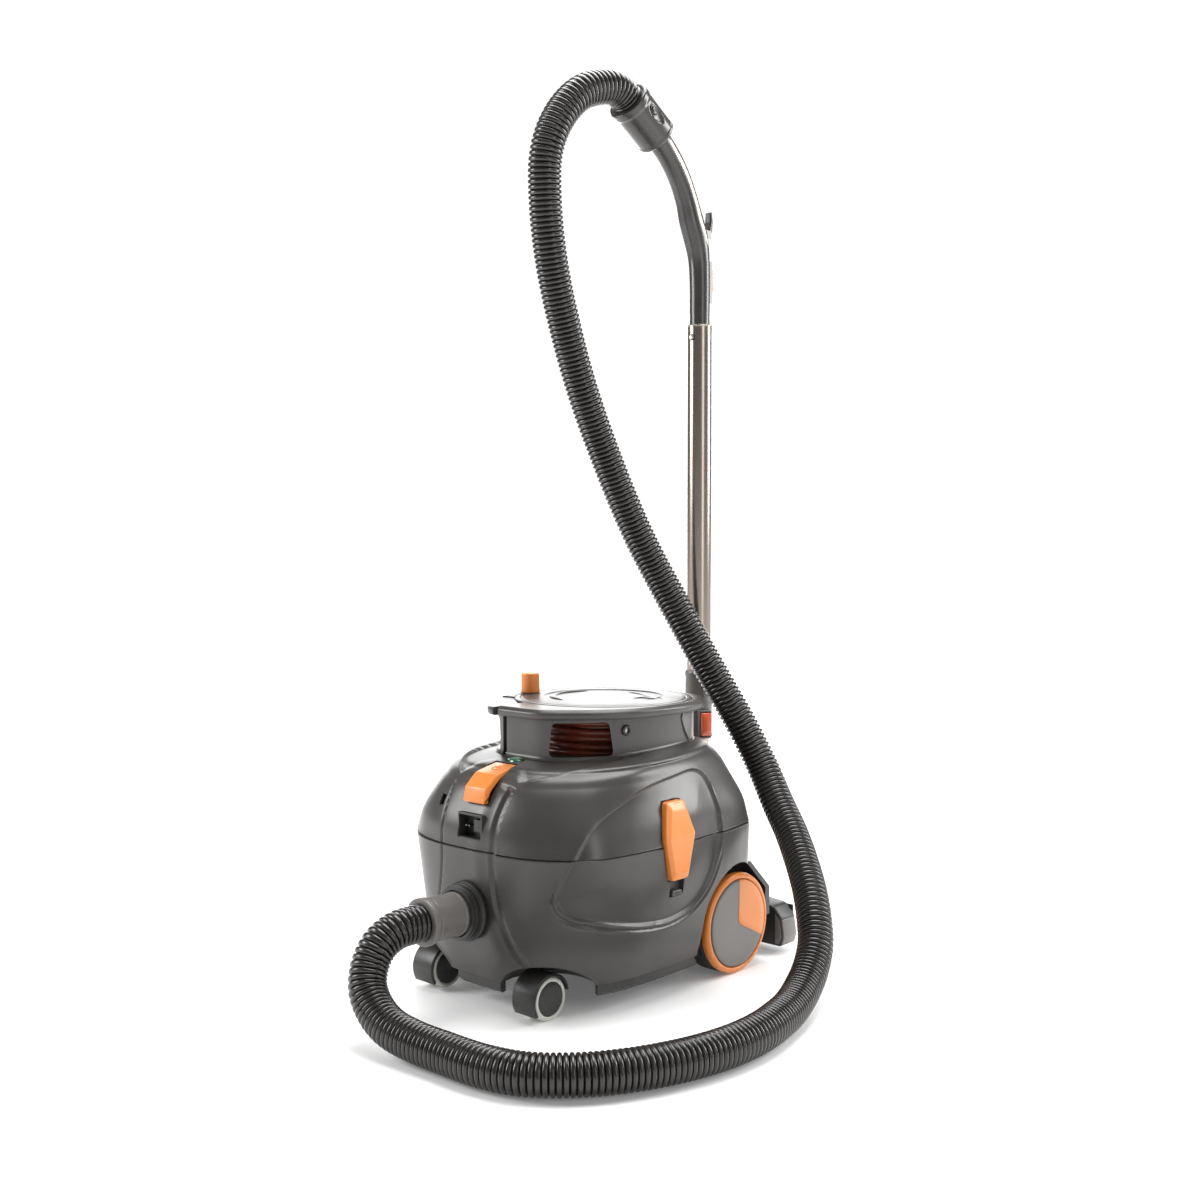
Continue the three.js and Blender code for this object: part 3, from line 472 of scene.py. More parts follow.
# ---------------------------------------------------------------- moulded skins
TUB_TABLE = [
    (37, [[0, -190], [50, -189], [84, -178], [109, -156], [132, -126], [146, -85], [150, -30],
          [150, 40], [147, 100], [142, 138], [130, 165], [105, 183], [60, 191], [0, 192]]),
    (54, [[0, -195], [51, -194], [88, -182], [115, -160], [139, -131], [154, -88], [158, -34],
          [158, 40], [155, 100], [149, 138], [137, 167], [110, 186], [64, 194], [0, 196]]),
    (110, [[0, -201], [52, -200], [92, -188], [120, -167], [145, -140], [162, -92], [167, -38],
           [166, 40], [162, 100], [155, 140], [144, 168], [119, 188], [70, 197], [0, 199]]),
    (SEAM_Z, [[0, -204], [52, -203], [97, -193], [129, -174], [156, -146], [169, -94],
              [173, -38], [171, 40], [167, 100], [159, 141], [149, 170], [126, 190], [76, 200],
              [0, 201]])]
HEAD_TABLE = [
    TUB_TABLE[-1],
    (226, [[0, -200], [51, -199], [92, -187], [123, -168], [149, -139], [163, -90], [167, -36],
           [166, 40], [160, 98], [152, 138], [140, 166], [117, 186], [70, 197], [0, 198]]),
    (252, [[0, -190], [48, -189], [86, -177], [115, -156], [139, -128], [154, -82], [159, -32],
           [157, 40], [150, 96], [140, 132], [126, 159], [103, 178], [60, 188], [0, 191]]),
    (274, [[0, -176], [44, -175], [79, -163], [108, -141], [130, -112], [146, -72], [151, -26],
           [149, 40], [141, 92], [130, 126], [114, 151], [90, 169], [52, 180], [0, 183]]),
    (289, [[0, -158], [41, -157], [72, -146], [100, -125], [121, -97], [137, -60], [142, -18],
           [140, 40], [131, 88], [119, 119], [102, 142], [79, 158], [44, 168], [0, 171]]),
    (297, [[0, -136], [37, -134], [66, -122], [91, -102], [110, -77], [124, -44], [130, -8],
           [128, 42], [120, 84], [108, 112], [91, 132], [68, 147], [38, 156], [0, 158]]),
    (299.4, [[0, -112], [34, -111], [58, -100], [78, -82], [92, -60], [104, -30], [109, 0],
             [110, 42], [105, 80], [96, 104], [80, 124], [58, 137], [30, 144], [0, 145]])]
NECK_HALF = [[0, -112], [34, -110], [58, -98], [80, -72], [95, -40], [103, 0], [106, 42],
             [103, 82], [94, 112], [78, 134], [52, 152], [26, 159], [0, 161]]
LID_HALF = [[0, -124], [42, -121], [70, -98], [97, -70], [117, -36], [125, 0], [128, 41],
            [125, 78], [116, 108], [98, 136], [68, 157], [34, 167], [0, 169]]
SKIN_COLUMNS, PLAN_COLUMNS = 720, 480
PLAN_Y = 30                # middle of the neck's and the lid's plan
DISC = dict(y=41.5, r=118.6)


def outline(half, n=SKIN_COLUMNS, cy=0):
    """Plan loop from its right-hand half, sampled in n even directions about (0, cy)."""
    left = [[-x, y] for x, y in half[1:-1][::-1]]
    fine = spline([[x, y, 0] for x, y in half + left], 1440, closed=True)[:, :2]
    angle = np.arctan2(fine[:, 1] - cy, fine[:, 0])
    reach = np.hypot(fine[:, 0], fine[:, 1] - cy)
    order = np.argsort(angle)
    want = -np.pi + 2 * np.pi * (np.arange(n) + 0.5) / n
    r = np.interp(want, angle[order], reach[order], period=2 * np.pi)
    return np.stack([r * np.cos(want), cy + r * np.sin(want)], -1)


def skin(table, heights, rise=None):
    """Loops [k, n, 3] of a moulded skin, smooth between its tabled levels."""
    z = np.array([row[0] for row in table], float)
    loops = np.stack([outline(row[1]) for row in table])
    slope = np.gradient(loops, z, axis=0)
    out = []
    for h in heights:
        k = int(np.clip(np.searchsorted(z, h) - 1, 0, len(z) - 2))
        w = z[k + 1] - z[k]
        t = np.clip((h - z[k]) / w, 0, 1)
        xy = hermite(t, loops[k], w * slope[k], loops[k + 1], w * slope[k + 1])
        lift = h if rise is None else rise(xy[:, 1], h)
        out.append(lifted(xy, lift))
    return np.array(out)


def grid_normals(grid):
    """Outward unit normals of a skin's loops."""
    along_loop = np.roll(grid, -1, 1) - np.roll(grid, 1, 1)
    up = np.gradient(grid, axis=0)
    n = np.cross(along_loop, up)
    return n / np.maximum(np.linalg.norm(n, axis=2)[..., None], 1e-9)


def lateral(points, normals, line, closed=False):
    """Distance of surface points to one side of a line lying on the surface, measured along the
    surface (positive on the right when walking the line, seen from outside), and how far along
    the line the nearest point is, from 0 to 1."""
    far = 60.0
    close = np.all((points > line.min(0) - far) & (points < line.max(0) + far), axis=1)
    if not close.all():
        signed, share = np.full(len(points), -1e9), np.zeros(len(points))
        signed[close], share[close] = lateral(points[close], normals[close], line, closed)
        return signed, share
    best = np.full(len(points), 1e9)
    signed = np.full(len(points), -1e9)
    share = np.zeros(len(points))
    ends = np.roll(line, -1, 0) if closed else line[1:]
    starts = line if closed else line[:-1]
    for i, (a, b) in enumerate(zip(starts, ends)):
        d = b - a
        t = np.clip(((points - a) @ d) / max(d @ d, 1e-9), 0, 1)
        away = points - (a + t[:, None] * d)
        away = away - normals * np.sum(away * normals, 1)[:, None]
        dist = np.linalg.norm(away, axis=1)
        near = dist < best
        hand = np.sign(np.sum(np.cross(d, normals) * away, 1))
        best = np.where(near, dist, best)
        signed = np.where(near, dist * np.where(hand == 0, 1, hand), signed)
        share = np.where(near, (i + t) / len(starts), share)
    return signed, share


def smooth(x, lo, hi):
    t = np.clip((x - lo) / (hi - lo), 0, 1)
    return t * t * (3 - 2 * t)


def bump(x, centre, half):
    """Rounded hump of height 1 about centre."""
    return np.clip(1 - ((x - centre) / half) ** 2, 0, 1) ** 2


# feature lines on the right-hand side, in the machine's own millimetres
PANEL = [[120, -172, 143], [122, -172, 153], [132, -168, 177], [141, -162, 197], [145, -146, 221],
         [148, -127, 238], [151, -101, 251], [152, -50, 267], [151, 3, 275], [147, 56, 277],
         [149, 74, 265], [155, 82, 243], [160, 84, 203], [162, 79, 172], [163, 64, 142],
         [165, 44, 121], [166, 20, 108], [166, -6, 102], [165, -37, 101], [162, -86, 107],
         [148, -135, 118], [131, -159, 125], [123, -168, 133]]
NOSE_EDGE = [[53, -173, 272], [51, -184, 257], [49, -194, 234], [48, -202, 205], [47, -203, 185],
             [50, -202, 152], [60, -197, 112], [76, -188, 82], [96, -176, 60]]
SHOULDER = [[51, -170, 274], [74, -149, 282], [93, -125, 289], [107, -80, 295], [108, -30, 299],
            [109, 3, 301], [108, 40, 302], [104, 80, 303], [96, 106, 304], [80, 127, 305]]
BACK_RIM = [[121, 150, 292], [131, 144, 268], [139, 151, 250], [146, 158, 226], [152, 164, 194],
            [148, 168, 150], [140, 170, 118]]
LATCH_BED = [[-27, 248.4], [8, 248.4], [20.4, 205], [7.2, 149.6], [-26.2, 149.6], [-39.4, 205]]


def latch_skin(z):
    """How far out the bare skin lies round the latch."""
    return np.interp(z, [148, 194, 226, 252], [169, 172.5, 167, 158.5])


def spline_corners(points, per_edge=8):
    """Closed loop with straight edges, sampled evenly along each."""
    t = np.arange(per_edge)[:, None] / per_edge
    return np.concatenate([a + (b - a) * t for a, b in zip(points, np.roll(points, -1, 0))])


def folded(grid):
    """Points and normals of a skin, and both again with the left side folded onto the right."""
    points, normals = grid.reshape(-1, 3), grid_normals(grid).reshape(-1, 3)
    flip = np.where(points[:, :1] < 0, -1.0, 1.0) * [1, 0, 0] + [0, 1, 1]
    return points, normals, points * flip, normals * flip


def relief(grid):
    """Moves a skin in and out for its panel, nose channel and shoulder crease, both sides alike."""
    points, normals, right, facing = folded(grid)
    depth = np.zeros(len(points))

    off, _ = lateral(right, facing, spline(PANEL, 180, closed=True), closed=True)
    # off is positive inside the panel: it walks clockwise seen from the right
    inside = smooth(off, -1.2, 2.8)
    low = smooth(175 - right[:, 2], 0, 25)
    depth += 3.9 * inside * (0.28 + 0.72 * smooth(55 - off, 0, 50))
    depth += low * (2.0 * bump(off, -5.6, 2.6) - 0.6 * bump(off, -2.0, 2.4)
                    - 0.6 * bump(off, -9.4, 2.6))
    depth -= (1 - low) * 0.9 * np.clip(1 + off / 14, 0, 1) ** 2 * (off < 0)

    off, share = lateral(right, facing, spline(NOSE_EDGE, 120))
    fade = smooth(share, 0.0, 0.05) * (1 - smooth(share, 0.78, 1))
    # steep wall on the nose side, long run-out on the body side
    run_out = 1 - 0.5 * smooth(off, 8, 13) - 0.5 * smooth(off, 13, 36)
    channel = 5.8 * smooth(off, -1.0, 3.2) * run_out
    # the left side has only a fine moulded line in its place
    depth += fade * np.where(points[:, 0] > 0, channel, 1.7 * bump(off, 0, 2.8))

    off, share = lateral(right, facing, spline(SHOULDER, 120))
    fade = smooth(share, 0.0, 0.05) * (1 - smooth(share, 0.9, 1))
    depth += 3.8 * fade * smooth(-off, -0.4, 3.4) * np.exp(-np.maximum(-off, 0) / 24)
    depth -= 0.8 * fade * bump(-off, -2.4, 5)

    off, share = lateral(right, facing, spline(BACK_RIM, 80))
    fade = smooth(share, 0.0, 0.1) * (1 - smooth(share, 0.9, 1))
    depth += 2.8 * fade * smooth(-off, -0.5, 2.4) * np.exp(-np.maximum(-off, 0) / 20)

    # shallow bed that the latch lies in, which reads as its dark outline
    bed = np.array([[latch_skin(z), y, z] for y, z in LATCH_BED], float)
    off, _ = lateral(right, facing, spline_corners(bed), closed=True)
    depth = np.maximum(depth, depth * 0.5 + 3.0 * smooth(off, -0.9, 0.7))
    return (points - normals * depth[:, None]).reshape(grid.shape)


def rise(y, z):
    """The shoulder climbs towards the back."""
    return z + max(0.0, (z - SEAM_Z) / 104) * 0.034 * (y + 10)


ARCH = dict(y=128.6, z=66, r=79, x=106)
CASTER = dict(x=91, y=-169, z=26, r=26, trail=12)
INLET_Z = 119


def rod(r, half, seg, radius):
    """Round bar along Z with rounded ends."""
    return lathe(oblong(0, r, -half, half), seg, radius)


def cylinder(r, z0, z1, seg=96):
    return lathe(oblong(0, r, z0, z1), seg, radius=0)


def ellipsoid(rx, ry, rz, rows=24, seg=64):
    t = np.linspace(-np.pi / 2, np.pi / 2, rows)
    turn = turns(seg)
    grid = np.stack([np.stack([rx * np.cos(a) * np.cos(turn), ry * np.cos(a) * np.sin(turn),
                               np.full(seg, rz * np.sin(a))], -1) for a in t[1:-1]])
    return closed_grid(grid)


def make_tub():
    """Tub wall with its arches, caster wells, inlet hole and finger recesses."""
    heights = np.concatenate([np.linspace(37, 54, 10)[:-1], np.linspace(54, SEAM_Z, 108)])
    outer = relief(skin(TUB_TABLE, heights))
    lip = lifted(inset(outer[-1, :, :2], 1.0), outer[-1, :, 2] - 0.2)
    outer[-1, :, 2] -= 1.1
    foot = lifted(inset(outer[0, :, :2], 3), outer[0, :, 2])
    inner = [lifted(inset(loop[:, :2], 4.5), loop[:, 2])
             for loop in relief(skin(TUB_TABLE, np.linspace(43, SEAM_Z, 30)))[::-1]]
    core = np.concatenate([[foot], outer, [lip]])
    arch_at, well_at = (ARCH["y"], ARCH["z"]), (CASTER["x"], CASTER["y"] + CASTER["trail"], 30)
    arch = moved(lathe(oblong(0, ARCH["r"], 0, 80), 128, 0), sideways(ARCH["x"], *arch_at))
    arch_wall = moved(lathe(oblong(0, 84, 0, 44), 128, 0), sideways(101, *arch_at))
    well = moved(ellipsoid(58, 58, 37), at(*well_at))
    well_wall = moved(ellipsoid(62, 62, 41), at(*well_at))
    recess = moved(prism(oblong(-22, 6, 129, 156), 161, 195, 4, 0), STAND_X)
    backing = block(156.5, 163, -26, 10, 125, 160)
    hole = moved(cylinder(28, 150, 240), forwards(0, 0, INLET_Z))
    walls = [carve(wall, common=[closed_grid(core)])
             for wall in (*pair(arch_wall), *pair(well_wall))]
    hull = carve(closed_grid(np.concatenate([core, inner])),
                 [*pair(arch), *pair(well), *pair(recess), hole], [*walls, *pair(backing)])
    put("tub_body", *hull, "tub", "housing_grey", ["tub_shell"], sharp=38)


make_tub()


BUTTON_X = (-17, 22)
LAMP = (4, -126)


def make_hood():
    """Lift-off head with openings for drum, button, lamp, socket, latches and exhaust door."""
    heights = np.concatenate([np.linspace(SEAM_Z + SEAM_GAP, 274, 76)[:-1],
                              np.linspace(274, 299.4, 40)])
    outer = relief(skin(HEAD_TABLE, heights, rise))
    lip = lifted(inset(outer[0, :, :2], 2.0), outer[0, :, 2] + 0.2)
    outer = outer[1:]
    outer[0, :, 2] += 0.7
    centre = np.array([0, PLAN_Y])
    deck = [lifted(centre + (outer[-1, :, :2] - centre) * share, outer[-1, :, 2] - drop)
            for share, drop in ((0.93, 0.6), (0.80, 1.0), (0.5, 1.0))]
    shape = closed_grid(np.concatenate([[lip], outer, deck]))
    levels = np.linspace(SEAM_Z, 279, 30)
    walls = np.interp(levels, [226, 252, 269, 279], [4.5, 5.0, 7, 13])
    hollow = [lifted(inset(loop[:, :2], wall), loop[:, 2])
              for wall, loop in zip(walls, relief(skin(HEAD_TABLE, levels, rise)))]
    hollow = closed_grid(np.array([lifted(hollow[0][:, :2], SEAM_Z - 2), *hollow]))
    drum = moved(cylinder(102, 282, 340), at(0, DISC["y"], 0))
    button = moved(prism([[-215, 249.2], [-215, 310], [-138, 310], [-137.9, 280.6], [-165.1, 272.6],
                          [-181.1, 258.6], [-184.9, 249.2]], BUTTON_X[0] - 0.7, BUTTON_X[1] + 0.7,
                         0.4, 0), STAND_X)
    socket = moved(prism(oblong(-18.4, 22.4, 207, 236), 180, 215, 1.5, 0), STAND_Y)
    lamp = moved(cylinder(1, 284, 310), at(*LAMP, 0) @ Matrix.Diagonal((14, 8.6, 1, 1)))
    door = block(-56, 56, 150, 215, 206.2, 246.6)
    view_port = moved(prism(oblong(-67, -57, 238, 251), 168, 215, 0.8, 0), STAND_Y)
    pocket = block(148.6, 185, -15, -1, 234, 247.4)
    boss = carve(block(143, 175, -19, 3, 229, 257), common=[shape])
    cuts = [drum, button, socket, lamp, door, *pair(pocket), view_port]
    hull = carve(carve(shape, [hollow]), cuts, pair(boss))
    put("hood_body", *hull, "head", "housing_grey", ["hood_shell"], sharp=38)
    put("view_port_plug", *moved(prism(oblong(-67.4, -56.6, 237.6, 251.4), 172, 176, 0.8, 0.3),
                                 STAND_Y), "head", "black_plastic")


make_hood()


# ---------------------------------------------------------------- neck, lid and drum
NECK_TOP = 346.2
COVER_JOINT = [[103, 81, 345], [102.6, 79, 336], [101, 88, 318], [96, 106, 302]]
KNOB = (-97.5, 0.5)
WINDER = at(0, DISC["y"], 0)


def deck_height(y):
    return 299.0 + 0.0343 * (y + 10)


def make_neck():
    """Oval wall round the cable drum, with two windows, a cable slit and a screw boss each side."""
    loop = outline(NECK_HALF, PLAN_COLUMNS, PLAN_Y)

    def level(share, cut):
        ring = inset(loop, cut)
        base = deck_height(ring[:, 1])
        return lifted(ring, base + share * (NECK_TOP - base))

    shares = np.concatenate([[-0.2, -0.08, 0.0, 0.02, 0.045, 0.08], np.linspace(0.12, 1, 18)])
    flare = np.interp(shares, [0, 0.02, 0.045, 0.08], [2.6, 1.6, 0.5, 0])
    outer = [level(share, -out) for share, out in zip(shares, flare)]
    inner = [level(share, 4) for share in (1.0, 0.5, -0.2)]
    # each side's rear cover is a separate greyer panel behind a narrow joint
    points, normals, right, facing = folded(np.array(outer))
    off, share = lateral(right, facing, spline(COVER_JOINT, 40))
    depth = 3.2 * bump(off, -1.2, 2.6) * (np.abs(share - 0.5) < 0.5)
    outer = (points - normals * depth[:, None]).reshape(len(outer), -1, 3)
    shape = ring_grid(np.concatenate([outer, inner]))
    window = prism([[-41, 299.5], [41, 299.5], [35, 342], [-37, 342]], -30, 30, 7, 0)
    cuts = [moved(moved(window, STAND_Y), at(s * 70, -76, 0) @ Matrix.Rotation(
        math.radians(48 * s), 4, "Z") @ side(s)) for s in (1, -1)]
    slit = block(-35, -27, -130, -90, 285, 350)
    bosses = [moved(cylinder(3.4, -20, 20, 32), sideways(s * 100, -25, 330)) for s in (1, -1)]
    # guide behind the slit, shaped to keep the cable off its edge; its black plastic is painted
    # shade that closes and darkens the view through the slit
    shade = prism([[-46, -101], [-40.5, -101], [-40.5, -85], [-36, -80], [-38.5, -77],
                   [-46, -82.5]], 296, 342, 1.6, 0.7)
    put("outlet_shade", *shade, "head", "black_plastic")
    put("neck_wall", *carve(shape, [*cuts, slit, *bosses]), "head", "housing_grey",
        ["drum_housing"], sharp=40)
    for s, name, _ in SIDES:
        # the boss ring is black plastic: painted shade of the dark recess round the screw
        ring = lathe([[3.4, -0.6], [7, -0.6], [7, 0.8], [5.6, 1.7], [3.4, 1.7]], 48, 0.5,
                     closed=True)
        put(f"screw_boss_{name}", *moved(ring, at(s * 100.6, -25, 330) @ along((s, -0.24, 0))),
            "head", "black_plastic")


def make_lid():
    """Oval lid round the winding disc, its front left corner a separate cable guide."""
    loop = outline(LID_HALF, PLAN_COLUMNS, PLAN_Y)
    angle = np.arctan2(loop[:, 1] - DISC["y"], loop[:, 0])

    def circle(r, z):
        return round_loop(r, r, z, angle) + [0, DISC["y"], 0]

    def edge(d, z):
        return lifted(inset(loop, d), z)

    def corner(grow):
        return prism([[-31 + grow, -140], [-31 + grow, -78 + grow], [-86, -38 + grow],
                      [-140, -38 + grow], [-140, -140]], 340, 365, 0.8, 0)

    rows = [circle(70, 346.4), edge(7, 346.4), edge(2.4, 346.5), edge(1.4, 347.0), edge(0.5, 348.6),
            edge(0.0, 350), edge(0.0, 353.6), edge(0.25, 354.6), edge(0.9, 355.5), edge(3.6, 358.0),
            edge(4.6, 358.7), edge(5.8, 359.0), edge(6.6, 359.0), circle(120.6, 359.0),
            circle(119.7, 358.8), circle(119.3, 358.2), circle(119.3, 350.6), circle(70, 350.6)]
    put("lid_ring", *carve(ring_grid(np.array(rows)), [corner(0)]), "head", "housing_grey",
        ["lid_plate"], sharp=30)
    whole = closed_grid(np.array([edge(1, 346.4), edge(-3.8, 347.2), edge(-4.8, 348.6),
                                  edge(-5, 350), edge(-5, 355.6), edge(-4.6, 356.6),
                                  edge(-3.4, 357.4)]))
    disc_hole = moved(cylinder(119.6, 340, 365, 128), WINDER)
    guide = carve(carve(whole, common=[corner(-4.5)]), [disc_hole])
    put("guide_block", *guide, "head", "housing_grey", ["cable_guide"], sharp=30)


def arc_strip(radius, start, stop, width, height, z, steps=72):
    """Low rounded rib along an arc about the Z axis, fading over a sixth at both ends."""
    t = np.linspace(0, 1, steps)
    scale = np.sqrt(np.clip(np.minimum(t, 1 - t) / 0.16, 0.004, 1))
    grid = []
    for a, s in zip(np.radians(np.linspace(start, stop, steps)), scale):
        r = radius + 0.5 * width * s * np.cos(turns(16))
        h = z + height * s * np.clip(np.sin(turns(16)), -0.4, 1)
        grid.append(np.column_stack([r * np.cos(a), r * np.sin(a), h]))
    return closed_grid(np.array(grid)[:, ::-1])


def make_disc():
    r = DISC["r"]
    plate = lathe([[0, 351], [r, 351], [r, 358.2], [r - 1.4, 359.3], [r - 7, 359.7],
                   [r - 8.4, 358.9], [r - 9.8, 359.7], [96, 360.5], [80.5, 361], [79, 359.6],
                   [40, 359.9], [0, 360]], 240, 0.5)
    cut = block(42, 80, 8, 29, 354.4, 365)
    slot = moved(prism(oblong(-7, 7, 0, 3), 356, 365, 1.4, 0), at(44, 36, 0))
    plate = carve(plate, [cut, slot])
    rib = arc_strip(68, 150, 262, 9, 2.6, 359.4)
    step = arc_strip(57, 40, 96, 5, 1.2, 359.7)
    hook = arc_strip(74, 26, 52, 5, 1.4, 359.4)
    pin = moved(lathe([[0, 355], [4, 355], [4, 360.6], [15.2, 360.6], [15.2, 361.2], [4, 361.5],
                       [4, 382], [0, 382]], 64, 0.4), at(KNOB[0], KNOB[1] - DISC["y"], 0))
    drive = lathe(oblong(0, 16, 343.6, 352), 64, 0.5)
    put("disc_top", *moved(join(plate, rib, step, hook, pin, drive), WINDER), "winder",
        "housing_grey", ["winding_disc"], sharp=35)
    lid = prism(oblong(42.7, 79.3, 8.7, 27.3), 355.5, 358.7, 2, 0.8)
    grip = prism([[50, 9.6], [72, 9.6], [69, 13.4], [53, 13.4]], 358.2, 359.1, 1, 0.4)
    hinge = moved(rod(1.5, 18.3, 24, 0.2), sideways(61, 26, 357))
    put("flap_cover", *moved(join(lid, grip, hinge), WINDER), "flap", "black_plastic",
        ["cable_flap"])
    knob = lathe([[4.4, 361.6], [12.6, 361.6], [13, 363.4], [12.75, 386], [12.2, 387.4],
                  [10.6, 388], [7.6, 388], [6.8, 387.3], [0, 387.0], [0, 383], [4.4, 383]], 96, 0.5,
                 closed=True)
    put("knob_body", *moved(knob, WINDER @ at(KNOB[0], KNOB[1] - DISC["y"], 0)), "crank",
        "accent_orange", ["crank_knob"])


CABLE_R, CABLE_RANGE = 4.5, (294.8, 335.4)
CABLE_LAYERS = ((87.2, (296.2, 305.0, 314.2, 323.6, 333.4)), (79.0, (300, 309, 318, 327, 335)))


def make_cable():
    """Turns of mains cable as they lie on the drum, each layer crossing the one below."""
    rng = np.random.default_rng(7)
    parts = []
    turn = turns(120)
    for radius, levels in CABLE_LAYERS:
        for z in levels:
            lean, start = rng.uniform(1.2, 3.4), rng.uniform(0, 2 * np.pi)
            wave = lean * np.sin(turn - start) + 0.9 * np.sin(3 * turn + start)
            r = radius + rng.uniform(-1.2, 0.0) + 0.5 * np.sin(2 * turn + start)
            height = np.clip(z + wave, *CABLE_RANGE)
            line = np.column_stack([r * np.cos(turn), r * np.sin(turn), height])
            parts.append(ring_tube(line, CABLE_R, 14))
    core = lathe(oblong(34.6, 75.5, 290.2, 340), 64, 0.5, closed=True)
    put("cable_turns", *moved(join(*parts, core), WINDER), "winder", "cable_red", ["wound_cable"],
        sharp=60)


def ring_tube(line, radius, seg):
    """(points, faces) of a round tube along a line that closes on itself about the Z axis."""
    ahead = np.roll(line, -1, 0) - np.roll(line, 1, 0)
    ahead /= np.linalg.norm(ahead, axis=1)[:, None]
    outward = line * [1, 1, 0]
    outward /= np.linalg.norm(outward, axis=1)[:, None]
    upward = np.cross(outward, ahead)
    return ring_grid(around(line, radius, outward, upward, seg))


make_neck()
make_lid()
make_disc()
make_cable()


# ---------------------------------------------------------------- latches, button, lamp, inlet
LATCH_HEX = [[-26, 247], [7, 247], [19, 205], [6, 151], [-25, 151], [-38, 205]]
LATCH_MIDDLE = np.array([-9.5, 199.0])
LATCH_BENDS, LATCH_FACE, LATCH_BACK = [145, 206, 250], [178, 179, 169], [166.4, 168.4, 157.2]
LATCH_PIN = forwards(154, 0, 242)


def make_latch(s, name, hand):
    """Hexagonal over-centre latch with broad chamfers, hung from a pin behind the head wall."""
    loop = rounded_loop(LATCH_HEX[::-1], 5)
    rows = []
    for side_x, levels in ((LATCH_BACK, ((0.75, 0), (0.06, 0), (0.01, 0.3), (0.0, 0.8))),
                           (LATCH_FACE, ((0.0, -4.3), (0.012, -3.4), (0.16, -0.4), (0.20, -0.04),
                                         (0.25, 0), (0.5, 0), (0.8, 0)))):
        for cut, out in levels:
            ring = LATCH_MIDDLE + (loop - LATCH_MIDDLE) * (1 - cut)
            rows.append(np.column_stack([np.interp(ring[:, 1], LATCH_BENDS, side_x) + out, ring]))
    body = closed_grid(np.array(rows)[:, ::-1])
    arm = block(153, 168, -13.6, -2.4, 239, 245)
    barrel = moved(lathe(oblong(2.4, 4.4, 2.4, 13.6), 48, 0.3, closed=True), LATCH_PIN)
    bore = moved(cylinder(2.5, -5, 30, 48), LATCH_PIN)
    body = carve(carve(body, joined=[arm]), [bore])
    put(f"latch_grip_{name}", *moved(join(body, barrel), side(s)), f"latch_{hand}",
        "accent_orange", [f"latch_{name}"], sharp=20)
    # moulded pull in the finger recess below the latch
    pull = prism([[-18, 130.2], [2, 130.2], [1, 136.5], [-17, 136.5]], 164.2, 168.8, 2, 1.2)
    put(f"recess_pull_{name}", *moved(moved(pull, STAND_X), side(s)), "tub", "housing_grey")


def make_button():
    face = [[-196.5, 250], [-192.5, 268], [-175, 283.5], [-141, 291.5], [-141, 284], [-168, 276],
            [-184, 262], [-188, 250]]
    body = moved(prism(face, *BUTTON_X, 1.6, 2.6), STAND_X)
    lift = Matrix(((1, 0, 0, 2.5), (0, 0.973, -0.229, -157.5), (0, 0.229, 0.973, 287.6),
                   (0, 0, 0, 1)))
    arc = round_loop(5.6, 5.6, 0, np.radians(np.linspace(125, 415, 49)))
    stem = np.array([[0, 1.5, 0], [0, 4, 0], [0, 7, 0]], float)
    marks = moved(join(*[tube(line, [0.75] * len(line), 10) for line in (arc, stem)]), lift)
    put("switch_rocker", *body, "power_key", "accent_orange", ["power_button"], sharp=24)
    put("switch_mark", *marks, "power_key", "accent_orange", sharp=50)


def make_front_fittings():
    frame_shape = moved(prism(oblong(-19.6, 23.6, 205.4, 237.6), 184, 201.2, 2.0, 0.8), STAND_Y)
    opening = moved(prism(oblong(-17.2, 21.2, 208, 235), 186.5, 215, 1.2, 0), STAND_Y)
    frame_shape = carve(frame_shape, [opening])
    tongue = moved(prism(oblong(0.5, 13.5, 213.5, 229), 186, 193.5, 1.0, 0.7), STAND_Y)
    pins = [moved(lathe([[0, 186], [1.3, 186], [1.3, 196.5], [0, 197.4]], 24, 0.4),
                  forwards(x, 0, 221)) for x in (-9.5, -4.5)]
    put("socket_frame", *join(frame_shape, tongue), "head", "black_plastic", ["power_socket"])
    put("socket_pins", *join(*pins), "head", "zinc_steel")
    # the lens stands on the sloping shoulder, so its rim climbs to the back
    lens, climb = [round_loop(12.6, 7.6, 288.2, turns(64))], 0.84
    for a in np.linspace(0, np.pi / 2, 9)[:-1]:
        size = math.cos(a) ** 0.5
        ring = round_loop(12.6 * size, 7.6 * size, 292.4 + 4.4 * math.sin(a), turns(64))
        ring[:, 2] += climb * np.sin(turns(64))
        lens.append(ring)
    put("lamp_lens", *moved(closed_grid(np.array(lens)), at(*LAMP, 0)), "head", "lamp_green",
        ["indicator_lamp"])


def make_inlet():
    turn_in = forwards(0, 0, INLET_Z)
    collar = lathe([[28.2, 205], [36.4, 205], [36.4, 208.4], [34.6, 210], [34.6, 212.6],
                    [31.8, 213.2], [31.8, 215.4], [34.0, 216], [34.0, 219.6], [31.4, 220.2],
                    [31.4, 221.4], [32.6, 221.8], [32.6, 223.4], [28.2, 224]], 128, 0.45,
                   closed=True)
    put("inlet_rings", *moved(collar, turn_in), "tub", "black_plastic", ["inlet_collar"])
    body = lathe([[20, 186], [26.6, 186], [26.6, 224], [26.9, 224.8], [26.9, 227], [26.2, 227.6],
                  [26.5, 262], [26.9, 262.6], [26.9, 264.4], [26.4, 265], [26.6, 267.6],
                  [28.4, 268.6], [28.8, 270], [28.8, 275.5], [28.2, 277.3], [26, 277.9],
                  [23.2, 277.9], [20, 277.2]], 128, 0.45, closed=True)
    put("connector_body", *moved(body, turn_in), "hose_inlet_end", "trim_grey", ["hose_connector"])


for this_side in SIDES:
    make_latch(*this_side)
make_button()
make_front_fittings()
make_inlet()


